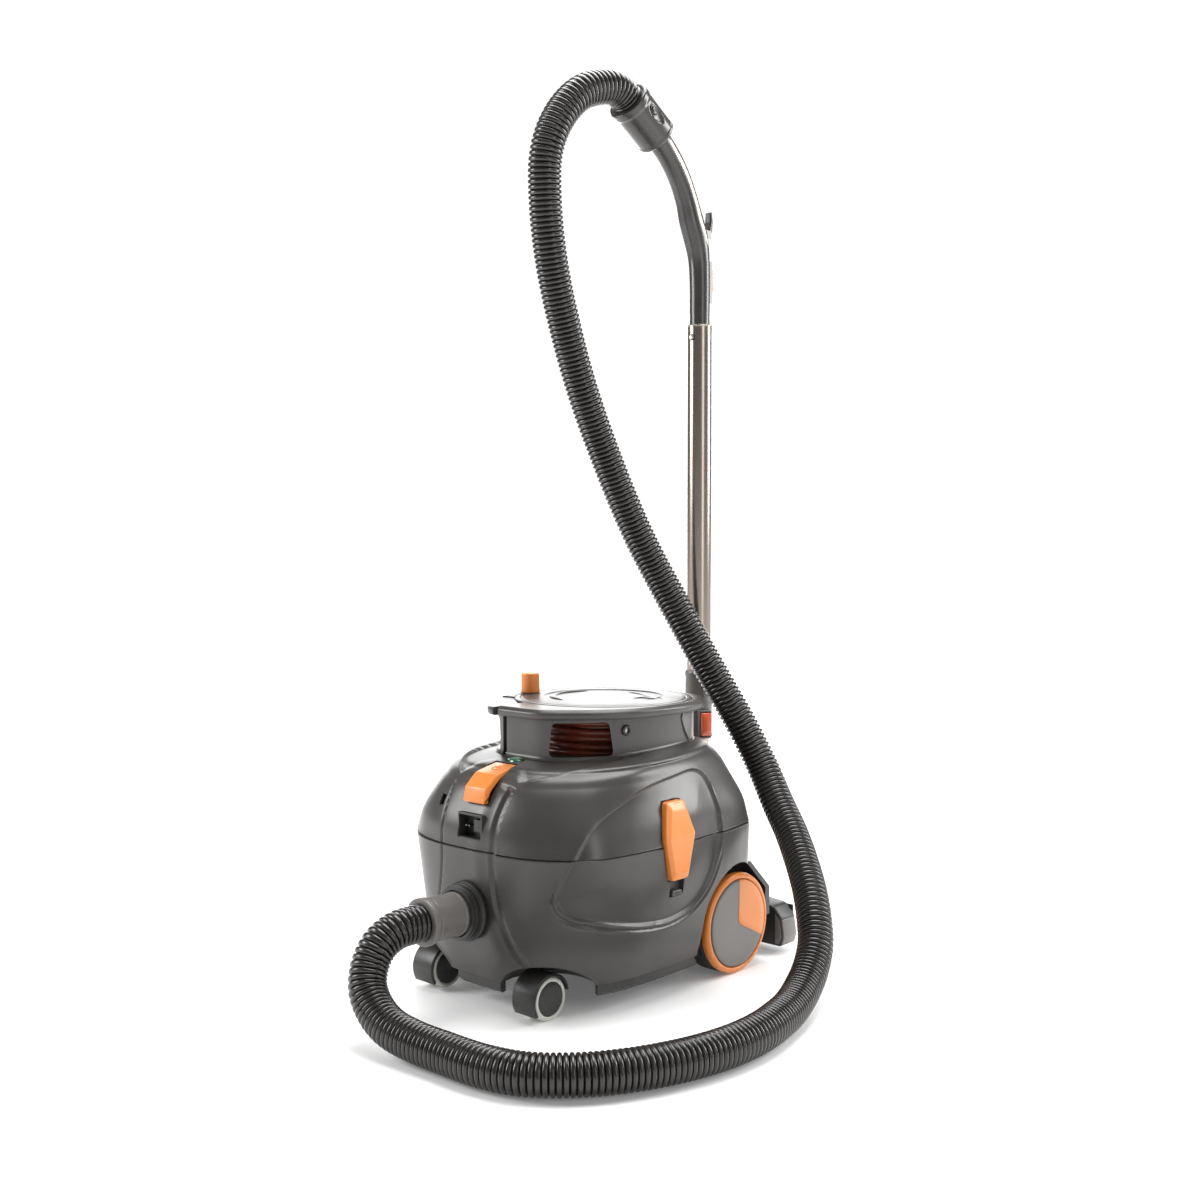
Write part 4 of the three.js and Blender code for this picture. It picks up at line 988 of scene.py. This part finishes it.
# ---------------------------------------------------------------- wheels
def make_wheel(s, name, hand):
    body = f"wheel_{hand}"
    hub = side(s) @ at(0, ARCH["y"], ARCH["z"])
    place = hub @ along((1, 0, 0))
    tyre = lathe([[40, 116.5], [58, 116.5], [60, 118.4], [62.4, 118.6], [65.2, 120.6], [66, 124],
                  [66, 130.2], [65.0, 130.9], [65.0, 131.9], [66, 132.6], [66, 138.2],
                  [65.0, 138.9], [65.0, 139.9], [66, 140.6], [66, 146], [65, 148.6], [62, 149.6],
                  [40, 149.6]], 160, 0.5, closed=True)
    put(f"tyre_{name}", *moved(tyre, place), body, "tyre_black", [f"rear_tyre_{name}"])
    rim = lathe([[6.5, 118], [39.6, 118], [39.6, 150], [65.0, 150], [65.6, 152], [65.6, 156.5],
                 [64.6, 159.2], [62.6, 160.6], [60.2, 161], [58.6, 160.4], [57.7, 158.6],
                 [57.5, 156], [10, 156], [6.5, 153]], 160, 0.6, closed=True)
    put(f"rim_{name}", *moved(rim, place), body, "accent_orange", [f"rear_rim_{name}"])
    cap = lathe([[0, 156.4], [56.9, 156.4], [57.2, 158.6], [56.4, 160.6], [54.8, 161.2],
                 [50, 161.2], [24, 160.2], [0, 159.4]], 160, 0.5)
    put(f"cap_{name}", *moved(cap, place), body, "trim_grey", [f"rear_cap_{name}"])
    # the orange quarter of the cap: its outer arc, then the rounded corner at the hub
    arc = [[math.sin(a) * 56.9, math.cos(a) * 56.9] for a in np.radians(np.linspace(1.5, 117, 40))]
    loop = np.array([*arc, [9.5, -5.0], [5.2, -2.0], [2.2, 1.2], [1.5, 5.5], [1.5, 12]])
    middle = np.array([21.0, 15.0])
    rows = []
    for cut, out in ((0, -3.2), (0, -0.15), (0.012, 0.3), (0.03, 0.5), (0.35, 0.5), (0.7, 0.5)):
        ring = middle + (loop - middle) * (1 - cut)
        face = np.interp(np.hypot(*ring.T), [0, 24, 50, 57], [159.6, 160.4, 161.3, 160.9])
        rows.append(np.column_stack([face + out, ring]))
    put(f"cap_sector_{name}", *moved(closed_grid(np.array(rows)), hub), body, "accent_orange",
        sharp=28)


def arc_sweep(section, start, stop, steps):
    """Section [radius, x] swept about the X axis between two angles measured from front to back."""
    turn = np.radians(np.linspace(start, stop, steps))
    grid = np.stack([np.column_stack([section[:, 1], -section[:, 0] * math.cos(a),
                                      section[:, 0] * math.sin(a)]) for a in turn])
    return closed_grid(grid)


def make_caster(s, name, hand):
    yoke_body = f"caster_{hand}"
    hub = at(s * CASTER["x"], CASTER["y"], CASTER["z"])
    shell = rounded_loop([[27.6, -19], [30.4, -17.8], [30.4, 17.8], [27.6, 19], [26.9, 18.8],
                          [28, 16.8], [28, -16.8], [26.9, -18.8]], 0.7, 3)
    cover = arc_sweep(shell, -34, 168, 56)
    web = moved(prism([[-18, -7], [20, -7], [21, 6], [18, 27], [-8, 27.4], [-17, 20]], -4, 4, 4,
                      1.0), STAND_X)
    boss = moved(lathe([[0, 26], [9.5, 26], [9.5, 31], [7, 32.4], [7, 39.6], [0, 39.6]], 64, 0.7),
                 at(0, CASTER["trail"], 0))
    axle = moved(rod(4, 17, 48, 0.4), along((1, 0, 0)))
    put(f"caster_hood_{name}", *moved(join(cover, web, boss, axle), hub), yoke_body,
        "black_plastic", [f"caster_yoke_{name}"], sharp=34)
    for which, d in (("out", s), ("in", -s)):
        wheel_body = yoke_body + ("_outer" if which == "out" else "_inner")
        place = hub @ side(d) @ along((1, 0, 0))
        tread = lathe([[20.4, 5.4], [24.2, 5.4], [25.4, 6.2], [26, 7.6], [26, 14.6], [25.2, 16.2],
                       [23.8, 17.3], [22.2, 17.6], [21.2, 17.2], [20.4, 16.2]], 96, 0.5,
                      closed=True)
        disc = lathe([[4.4, 4.8], [20.4, 4.8], [20.4, 16.6], [19.6, 16.9], [16, 17.6], [8, 18.0],
                      [4.4, 18.0]], 96, 0.5, closed=True)
        put(f"caster_tread_{name}_{which}", *moved(tread, place), wheel_body, "caster_grey",
            [f"caster_wheel_{name}_{which}"])
        plug = lathe([[0, 14], [4.4, 14], [4.4, 18.05], [0, 18.2]], 48, 0.3)
        put(f"caster_disc_{name}_{which}", *moved(join(disc, plug), place), wheel_body,
            "black_plastic")


for this_side in SIDES:
    make_wheel(*this_side)
    make_caster(*this_side)


# ---------------------------------------------------------------- wand, grip and cuff
WAND_Y = 246
WAND_AT = at(0, WAND_Y, 0)
GRIP = [[246, 812, 15.7], [246, 846, 15.7], [246, 874, 15.7], [246, 878, 14.6], [246, 904, 14.7],
        [246, 930, 14.8], [243.5, 972, 15.8], [236, 1000, 18], [226, 1022, 17.8], [216, 1048, 16.4],
        [200, 1076, 16], [177, 1102, 16.2], [150, 1122.5, 16.6], [121, 1140.6, 16.2]]
GRIP_ROWS = 420
LEVER_AT = sideways(0, 259.5, 1006)


def make_wand():
    outer = lathe([[16.1, 350], [17.3, 350], [17.5, 350.6], [17.5, 873.4], [18.0, 874.2],
                   [18.0, 875.4], [17.5, 876], [16.1, 876]], 96, 0.25, closed=True, longest=4)
    hole = moved(cylinder(4.6, 10, 25, 48), forwards(0, 0, 858))
    put("tube_outer", *moved(carve(outer, [hole]), WAND_AT), "wand_upper", "wand_steel",
        ["wand_outer_tube"])
    inner = lathe([[14, 117], [15.4, 117], [15.6, 117.6], [15.6, 719.4], [15.4, 720], [14, 720]],
                  96, 0.25, closed=True)
    put("tube_inner", *moved(inner, WAND_AT), "tub", "wand_steel", ["wand_inner_tube"])
    ring = lathe([[15.9, 284], [19.4, 284], [20.4, 286], [20.4, 289], [19.8, 290], [19.8, 330],
                  [20.4, 331.4], [20.4, 338], [19.6, 341], [19.6, 372], [20.2, 374], [20.2, 378],
                  [19, 381.4], [17.9, 382], [17.9, 349.6], [15.9, 349.6]], 96, 0.5, closed=True)
    turn = Matrix.Rotation(math.radians(-24), 4, "Z")
    housing = moved(prism([[12, -10.6], [23, -9.4], [23, 9.4], [12, 10.6]], 284, 325, 2.4, 1.2),
                    turn)
    bore = cylinder(15.9, 275, 330, 64)
    pocket = moved(block(18, 30, -8.6, 8.6, 286.6, 322.4), turn)
    collar = carve(carve(ring, joined=[carve(housing, [bore])]), [pocket])
    put("collar_body", *moved(collar, WAND_AT), "wand_upper", "trim_grey", ["wand_collar"],
        sharp=36)
    key = moved(moved(prism([[20.6, 287.2], [24.2, 288.5], [26.4, 296], [26.4, 313], [24.2, 320.5],
                             [20.6, 321.8]], -7.9, 7.9, 1.4, 1.2), STAND_Y), turn)
    put("release_pad", *moved(key, WAND_AT), "release_key", "button_red", ["release_button"])
    snap = lathe([[0, 16.4], [4, 16.4], [4, 19], [3.4, 20.1], [2, 20.6], [0, 20.6]], 48, 0.3)
    put("snap_pin", *moved(snap, WAND_AT @ forwards(0, 0, 858)), "snap_key",
        "zinc_steel", ["snap_button"])


def make_grip():
    """Hollow S-bent handle, a soft oval with a flatter back that carries a bright inlay."""
    fine = spline(GRIP, GRIP_ROWS)
    line, radius = np.column_stack([np.zeros(GRIP_ROWS), fine[:, :2]]), fine[:, 2]
    tangent = np.gradient(line, axis=0)
    tangent /= np.linalg.norm(tangent, axis=1)[:, None]
    back = np.column_stack([np.zeros(GRIP_ROWS), tangent[:, 2], -tangent[:, 1]])
    high = line[:, 2]
    held = smooth(high, 960, 1010) * (1 - smooth(high, 1095, 1120))

    def skin_reach(i, angles):
        return radius[i] * (1 - 0.07 * held[i] * np.abs(np.cos(angles)) ** 6)

    def ring(i, reach, angles):
        """Points round the line; angle 0 is the machine's right, a quarter turn is the back."""
        across, behind = reach * np.cos(angles), reach * np.sin(angles)
        return line[i] + across[:, None] * [1, 0, 0] + behind[:, None] * back[i]

    turn = turns(72)
    bell = np.array([ring(i, skin_reach(i, turn), turn) for i in range(GRIP_ROWS)])
    bore = np.array([ring(i, 11, turn) for i in range(GRIP_ROWS)])
    shape = ring_grid(np.concatenate([bell[:, ::-1], bore[::-1, ::-1]]))
    snap = moved(cylinder(4.4, 8, 25, 32), forwards(0, WAND_Y, 858))
    vent = block(-5.2, 5.2, 258.5, 275, 900, 980)
    rails = pair(block(8.6, 10.4, 254, 261.8, 908, 968))
    ears = pair(block(5.6, 8.4, 249, 262, 1000, 1012))
    shape = join(carve(shape, [snap, vent]), *rails, *ears, moved(rod(1.8, 7, 24, 0.2), LEVER_AT))
    put("grip_body", *shape, "wand_upper", "handle_plastic", ["handle_grip"], sharp=40)
    # bright inlay along the back of the right-hand side, from the lever up to the cuff
    inlay = []
    rows = np.nonzero((high > 985) & (high < 1117))[0]
    for i, t in zip(rows, np.linspace(0, 1, len(rows))):
        wide = 0.42 * min(1, t / 0.25) ** 0.8 * (1 - 0.25 * smooth(t, 0.8, 1.0)) + 0.01
        mid = 0.34 - 0.04 * t
        angles = np.linspace(mid - wide, mid + wide, 9)
        crown = 0.25 * np.sqrt(np.clip(1 - ((angles - mid) / wide) ** 2, 0, 1))
        top = ring(i, skin_reach(i, angles) + crown, angles)
        under = ring(i, skin_reach(i, angles) - 0.8, angles)
        inlay.append(np.concatenate([top, under[::-1]]))
    put("grip_inlay", *closed_grid(np.array(inlay)[:, ::-1]), "wand_upper", "wand_steel", sharp=50)
    slider = join(prism(oblong(-9.6, 9.6, 926, 956), -265.4, -262.1, 2, 0.9),
                  prism(oblong(-5, 5, 914.4, 927.6), -267.9, -261.6, 1.2, 0.8),
                  *[prism(oblong(-7, 7, z, z + 2), -266.2, -264.8, 0.6, 0.4)
                    for z in (930, 935, 940, 945, 950)])
    put("vent_slider", *moved(slider, STAND_Y), "slider", "accent_orange", ["air_slider"])
    paddle = [[256.5, 1003], [262, 1001], [268.5, 1012], [270.5, 1027], [268, 1041], [264.5, 1040],
              [265.5, 1027], [261.5, 1013], [256.5, 1009]]
    lever = moved(prism(paddle, -5, 5, 2.0, 1.2, 5), STAND_X)
    eye = moved(lathe(oblong(2.2, 4.2, -5, 5), 48, 0.3, closed=True), LEVER_AT)
    hole = moved(cylinder(2.3, -9, 9, 32), LEVER_AT)
    put("lever_paddle", *join(carve(lever, [hole]), eye), "lever", "black_plastic", ["thumb_lever"])


CUFF_AT = at(0, 150, 1122.5) @ Matrix.Rotation(math.radians(58.63), 4, "X")
KEY_Z = 44                 # of the cuff's press button, along the cuff


def make_cuff():
    points, faces = lathe([[17.2, 0.5], [25.6, 0.5], [27.4, 1.4], [28.6, 3.2], [28.6, 6.4],
                           [28.0, 7.4], [28.2, 58], [28.8, 60], [29.4, 62], [29.4, 69.6],
                           [28.4, 71.2], [26, 71.5], [17.2, 71.5]], 160, 0.6, closed=True,
                          longest=1.2)
    radius = np.hypot(points[:, 0], points[:, 1])
    facing = (points[:, 0] > 0) & (radius > 24)
    # a dish for the thumb round a deeper round pocket, in which the button travels
    thumb = np.sqrt(np.clip(1 - (points[:, 1] / 8.4) ** 2 - ((points[:, 2] - 38) / 17) ** 2, 0, 1))
    under_key = np.hypot(points[:, 1], points[:, 2] - KEY_Z) < 6.6
    dished = np.where(under_key, 21.0, radius - 3.3 * thumb)
    points[:, :2] *= (np.where(facing, dished, radius) / radius)[:, None]
    put("cuff_shell", *moved((points, faces), CUFF_AT), "cuff", "handle_plastic", ["hose_cuff"],
        sharp=34)
    key = lathe([[0, 25], [5, 25], [5, 28.0], [4.5, 28.9], [3.8, 29.1], [3.2, 28.5], [0, 28.3]], 48,
                0.25)
    eye = lathe(oblong(1.2, 2.1, 28, 29.1), 32, 0.2, closed=True)
    ring = lathe([[5.5, 24.6], [7.4, 24.6], [7.4, 27.0], [6.4, 27.6], [5.5, 27.0]], 48, 0.3,
                 closed=True)
    place = CUFF_AT @ sideways(0, 0, KEY_Z)
    put("cuff_key_cap", *moved(join(key, eye), place), "cuff_key", "handle_plastic",
        ["cuff_button"])
    put("cuff_key_ring", *moved(ring, place), "cuff", "handle_plastic")


make_wand()
make_grip()
make_cuff()


# ---------------------------------------------------------------- rear, inside and floor tool
def make_rear_covers():
    """Greyer cover on each side of the neck, running back to the wand."""
    half = outline(NECK_HALF, PLAN_COLUMNS, PLAN_Y)
    right = half[half[:, 0] > 0]
    right = right[np.argsort(np.arctan2(right[:, 1] - PLAN_Y, right[:, 0]))]
    run = np.concatenate([[0], np.cumsum(np.linalg.norm(np.diff(right, axis=0), axis=1))])
    rear = right[:, 1] > 0
    low_z, high_z, columns, end_gap = 303.5, 341.5, 90, 6
    rim = np.clip(np.minimum(np.arange(columns), np.arange(columns)[::-1]) / 2.0, 0, 1)
    rows = []
    for z in np.linspace(low_z, high_z, 20):
        front_y = np.interp(z, [300, 318, 336, 342], [106, 90, 80, 84])
        start = np.interp(front_y, right[rear][:, 1], run[rear])
        want = np.linspace(start, run[-1] - end_gap, columns)
        ring = np.column_stack([np.interp(want, run, right[:, k]) for k in (0, 1)])
        step = np.gradient(ring, axis=0)
        step /= np.linalg.norm(step, axis=1)[:, None]
        normal = np.column_stack([step[:, 1], -step[:, 0]])
        edge_z = max(0, min(1.0, (z - low_z) / 2.5, (high_z - z) / 2.5))
        proud = 0.1 + 0.9 * np.sqrt(np.minimum(rim, edge_z))
        rows.append(lifted(np.concatenate([ring + normal * proud[:, None],
                                           (ring - normal * 2.0)[::-1]]), z))
    shape = closed_grid(np.array(rows))
    for s, name, _ in SIDES:
        put(f"neck_cover_{name}", *moved(shape, side(s)), "head", "trim_grey", sharp=40)


def make_exhaust():
    """Rear door with slanted louvres over a pleated filter."""
    body = prism([[192.8, 208], [199.6, 208], [195.4, 246], [192.4, 246], [188.8, 242.4]], -55.4,
                 55.4, 0.8, 0.8)
    slots = [moved(prism([[203, z - 0.4], [203, z + 2.0], [186, z + 3.6], [186, z + 1.2]], -46, 46,
                         0.3, 0), STAND_X) for z in 214 + 4.6 * np.arange(6)]
    hinge = moved(rod(2.6, 48, 48, 0.3), sideways(0, 198.4, 209.6))
    door = carve(moved(body, STAND_X), slots)
    put("door_louvres", *join(door, hinge), "rear_door", "housing_grey", ["exhaust_door"], sharp=30)
    x = np.linspace(-51.5, 51.5, 105)
    fold = 187.4 - 2.6 * np.abs(((np.arange(105) % 4) / 2.0) - 1)
    ring = np.concatenate([lifted(x, fold), lifted(x[::-1], 168.4)])
    rows = [lifted(ring, z) for z in (209.5, 211, 243, 244.6)]
    put("filter_pleats", *closed_grid(np.array(rows)[:, ::-1]), "head", "filter_white",
        ["exhaust_filter"], sharp=25)


BAG_SEAM_Z = 121


def make_bag():
    """Fleece dust bag: a soft loft with a sewn seam and creases, glued to its card collar."""
    loop = outline([[0, -150], [60, -146], [88, -110], [92, -40], [88, 60], [80, 120], [50, 140],
                    [0, 146]], 260)
    levels = [(72, 27), (76, 18), (82, 10), (90, 4.6), (100, 1.4), (112, 0.3), (121, 0.2),
              (132, 0.6), (142, 2.6), (151, 7), (158, 12), (164, 19), (168, 27)]
    rows = [lifted(inset(loop, d), h) for h, d, _ in spline([[a, b, 0] for a, b in levels], 60)]
    bottom, top = [[lifted(end[:, :2] * share, z) for share, z in caps] for end, caps in (
        (rows[0], ((0.15, 71.3), (0.45, 71.4), (0.75, 71.6))),
        (rows[-1], ((0.75, 168.6), (0.45, 168.9), (0.15, 169))))]
    grid = np.array([*bottom, *rows, *top])
    x, y, z = np.moveaxis(grid, 2, 0)
    crease = (np.sin(x * 0.11 + 1.7 * np.sin(y * 0.043)) *
              np.sin(z * 0.16 + 2.1 * np.sin(x * 0.031 + y * 0.05)) +
              0.5 * np.sin(y * 0.19 + 1.3 * np.sin(z * 0.12)) +
              0.3 * np.sin(x * 0.37 + y * 0.29 + z * 0.31))
    seam = np.exp(-((z - BAG_SEAM_Z) / 2.2) ** 2)
    grid = grid - grid_normals(grid) * (1.3 + 0.9 * crease - 1.8 * seam)[..., None]
    inlet = forwards(0, 0, INLET_Z)
    hole = moved(cylinder(19.4, 120, 182, 96), inlet)
    spout = moved(lathe([[16.4, 140], [19.4, 140], [19.6, 160], [19.4, 181], [16.4, 181]], 96, 0.3,
                        closed=True), inlet)
    bag = put("fleece_bag", *join(carve(closed_grid(grid), [hole]), spout), "tub", "bag_fleece",
              ["dust_bag"], sharp=70)
    card = moved(prism(oblong(-48, 48, 72, 168), 181.5, 185.3, 6, 0.5), STAND_Y)
    port = moved(cylinder(19.8, 170, 200, 96), inlet)
    lip = moved(lathe([[19.9, 182], [23.5, 182], [23.5, 186.2], [22.6, 186.8], [19.9, 186.4]], 96,
                      0.4, closed=True), inlet)
    put("bag_card", *join(carve(card, [port]), lip), "tub", "card_brown", ["bag_collar"])


TOOL_AT = at(0, WAND_Y, 98)


def make_brush():
    """Two rows of bristle tufts on a backing strip."""
    rng = np.random.default_rng(11)
    parts = [block(-148, 148, 10.4, 14, -82.2, -77.8)]
    for first_x, z in ((-146, -81), (-145.1, -79)):
        for i in range(74):
            root = np.array([first_x + i * 4, 13.5, z])
            tip = root + [rng.uniform(-0.4, 0.4), 8.3, rng.uniform(-0.2, 0.2)]
            parts.append(tube(np.array([root, (root + tip) / 2, tip]), [0.75, 0.85, 0.7], 8))
    put("brush_tufts", *moved(join(*parts), TOOL_AT), "brush", "brush_bristle", ["brush_strip"])


def make_tool():
    """Floor tool shoe with rounded back, side bumpers and a greyer end pad."""
    plan = [[-156, -88], [156, -88], [160, -74], [156, -48], [142, -33], [70, -27], [42, -18],
            [40, 14], [-40, 14], [-42, -18], [-70, -27], [-142, -33], [-156, -48], [-160, -74]]
    shoe = moved(prism(plan, -20, 14, 5, 3.2, 6), STAND_Y)
    cuts = [block(-29, 29, -60, 60, -24.5, 60), block(-60, 60, -30, -12, 8, 30),
            block(-132, 132, 8, 40, -70, -56), block(-27, 27, -30, -7, -66, -38),
            block(-149, 149, 8, 40, -83, -77)]
    shoe = carve(shoe, cuts)
    pins = pair(moved(rod(6, 4, 48, 0.3), sideways(26.4, 0, 0)))
    spindle = moved(rod(2, 28, 32, 0.2), sideways(0, -12, -52))
    put("shoe_body", *moved(join(shoe, *pins, spindle), TOOL_AT), "floor_tool", "black_plastic",
        ["floor_tool_body"], sharp=30)
    pad = prism([[146.5, -84], [152.5, -84], [157, -73.5], [153.4, -51], [146.5, -43]], 13.2, 15.0,
                2, 0.7)
    wrap = prism([[154.6, -86], [156.8, -86.2], [160.2, -74], [156.8, -51], [154.6, -50]], -17, 12,
                 1.2, 0.8)
    for s, name, _ in SIDES:
        put(f"shoe_pad_{name}", *moved(join(pad, wrap), TOOL_AT @ side(s) @ STAND_Y), "floor_tool",
            "trim_grey")


make_rear_covers()
make_exhaust()
make_bag()
make_brush()
make_tool()


# ---------------------------------------------------------------- CAD nodes that stay
def finish_cad_nodes():
    """Every CAD node gets its slot's material; the visible ones also get rounded edges."""
    for entry in frame["record"]["subparts"]:
        obj = frame["nodes"][entry["node"]]
        obj.data.materials.clear()
        obj.data.materials.append(MATERIALS[entry["material_slot"]])
        if obj.hide_render:
            continue
        edge = obj.modifiers.new("edge", "BEVEL")
        edge.width, edge.segments, edge.limit_method = 0.6 * MM, 2, "ANGLE"
        edge.angle_limit = math.radians(38)
        obj.modifiers.new("normals", "WEIGHTED_NORMAL").keep_sharp = True


finish_cad_nodes()


# ---------------------------------------------------------------- studio
FLOOR_REACH = 30.0
# name, place, aim, size and power
LIGHTS = [
    ("top", (-0.1, 0.5, 2.6), (0, 0, 0.3), (1.8, 1.8), 92),
    ("front_left", (-1.9, -1.9, 1.5), (0, 0, 0.35), (1.1, 1.5), 60),
    ("right", (2.6, -0.5, 1.2), (0, 0, 0.3), (0.8, 1.8), 15),
    ("rear_right", (1.5, 2.1, 1.5), (0, 0, 0.5), (0.9, 1.8), 62),
    ("sweep", (-2.9, 3.1, 1.3), (0, 0, 0.5), (4.0, 2.6), 115),
]


def studio():
    """White sweep: a plain bright background, a pale floor whose own glow is painted light, weak
    near the machine and full from about 2.6 m out, and five large soft lights.
    """
    scene = bpy.context.scene
    scene.view_settings.view_transform = "Standard"
    scene.view_settings.look = "None"
    world = bpy.data.worlds.new("studio")
    scene.world = world
    world.use_nodes = True
    tree = world.node_tree
    link = tree.links.new
    room = tree.nodes["Background"]
    room.inputs["Color"].default_value = (1.0, 0.985, 0.965, 1)
    room.inputs["Strength"].default_value = 0.26
    sweep = node(tree, "ShaderNodeBackground", Color=(1, 1, 1, 1), Strength=1.05)
    rays = node(tree, "ShaderNodeLightPath")
    mix = node(tree, "ShaderNodeMixShader")
    link(rays.outputs["Is Camera Ray"], mix.inputs["Fac"])
    link(room.outputs["Background"], mix.inputs[1])
    link(sweep.outputs["Background"], mix.inputs[2])
    link(mix.outputs["Shader"], tree.nodes["World Output"].inputs["Surface"])
    corners = oblong(-FLOOR_REACH, FLOOR_REACH, -FLOOR_REACH, FLOOR_REACH)
    floor = mesh_object("floor", lifted(corners, 0) / MM, [[0, 1, 2, 3]])
    white = surface("floor_white", (0.90, 0.90, 0.90), 0.6, 60, 0.0, 0.005, patch=2)
    tree = white.node_tree
    link = tree.links.new
    shader = tree.nodes["Principled BSDF"]
    place = node(tree, "ShaderNodeTexCoord")
    away = node(tree, "ShaderNodeVectorMath", operation="LENGTH")
    # the floor glows more the farther it lies from the machine: painted light that brings the far
    # floor up to white
    painted_floor_glow = node(tree, "ShaderNodeMapRange", interpolation_type="SMOOTHSTEP",
                **{"From Min": 0.3, "From Max": 2.6, "To Min": 0.10, "To Max": 1.0})
    link(place.outputs["Object"], away.inputs[0])
    link(away.outputs["Value"], painted_floor_glow.inputs["Value"])
    link(painted_floor_glow.outputs["Result"], shader.inputs["Emission Strength"])
    shader.inputs["Emission Color"].default_value = (1, 1, 1, 1)
    floor.data.materials.append(white)
    for name, place, aim, size, power in LIGHTS:
        data = bpy.data.lights.new(name, "AREA")
        data.shape, data.energy = "RECTANGLE", power
        data.size, data.size_y = size
        lamp = bpy.data.objects.new(name, data)
        lamp.location = place
        lamp.rotation_euler = (Vector(aim) - Vector(place)).to_track_quat("-Z", "Y").to_euler()
        scene.collection.objects.link(lamp)


studio()
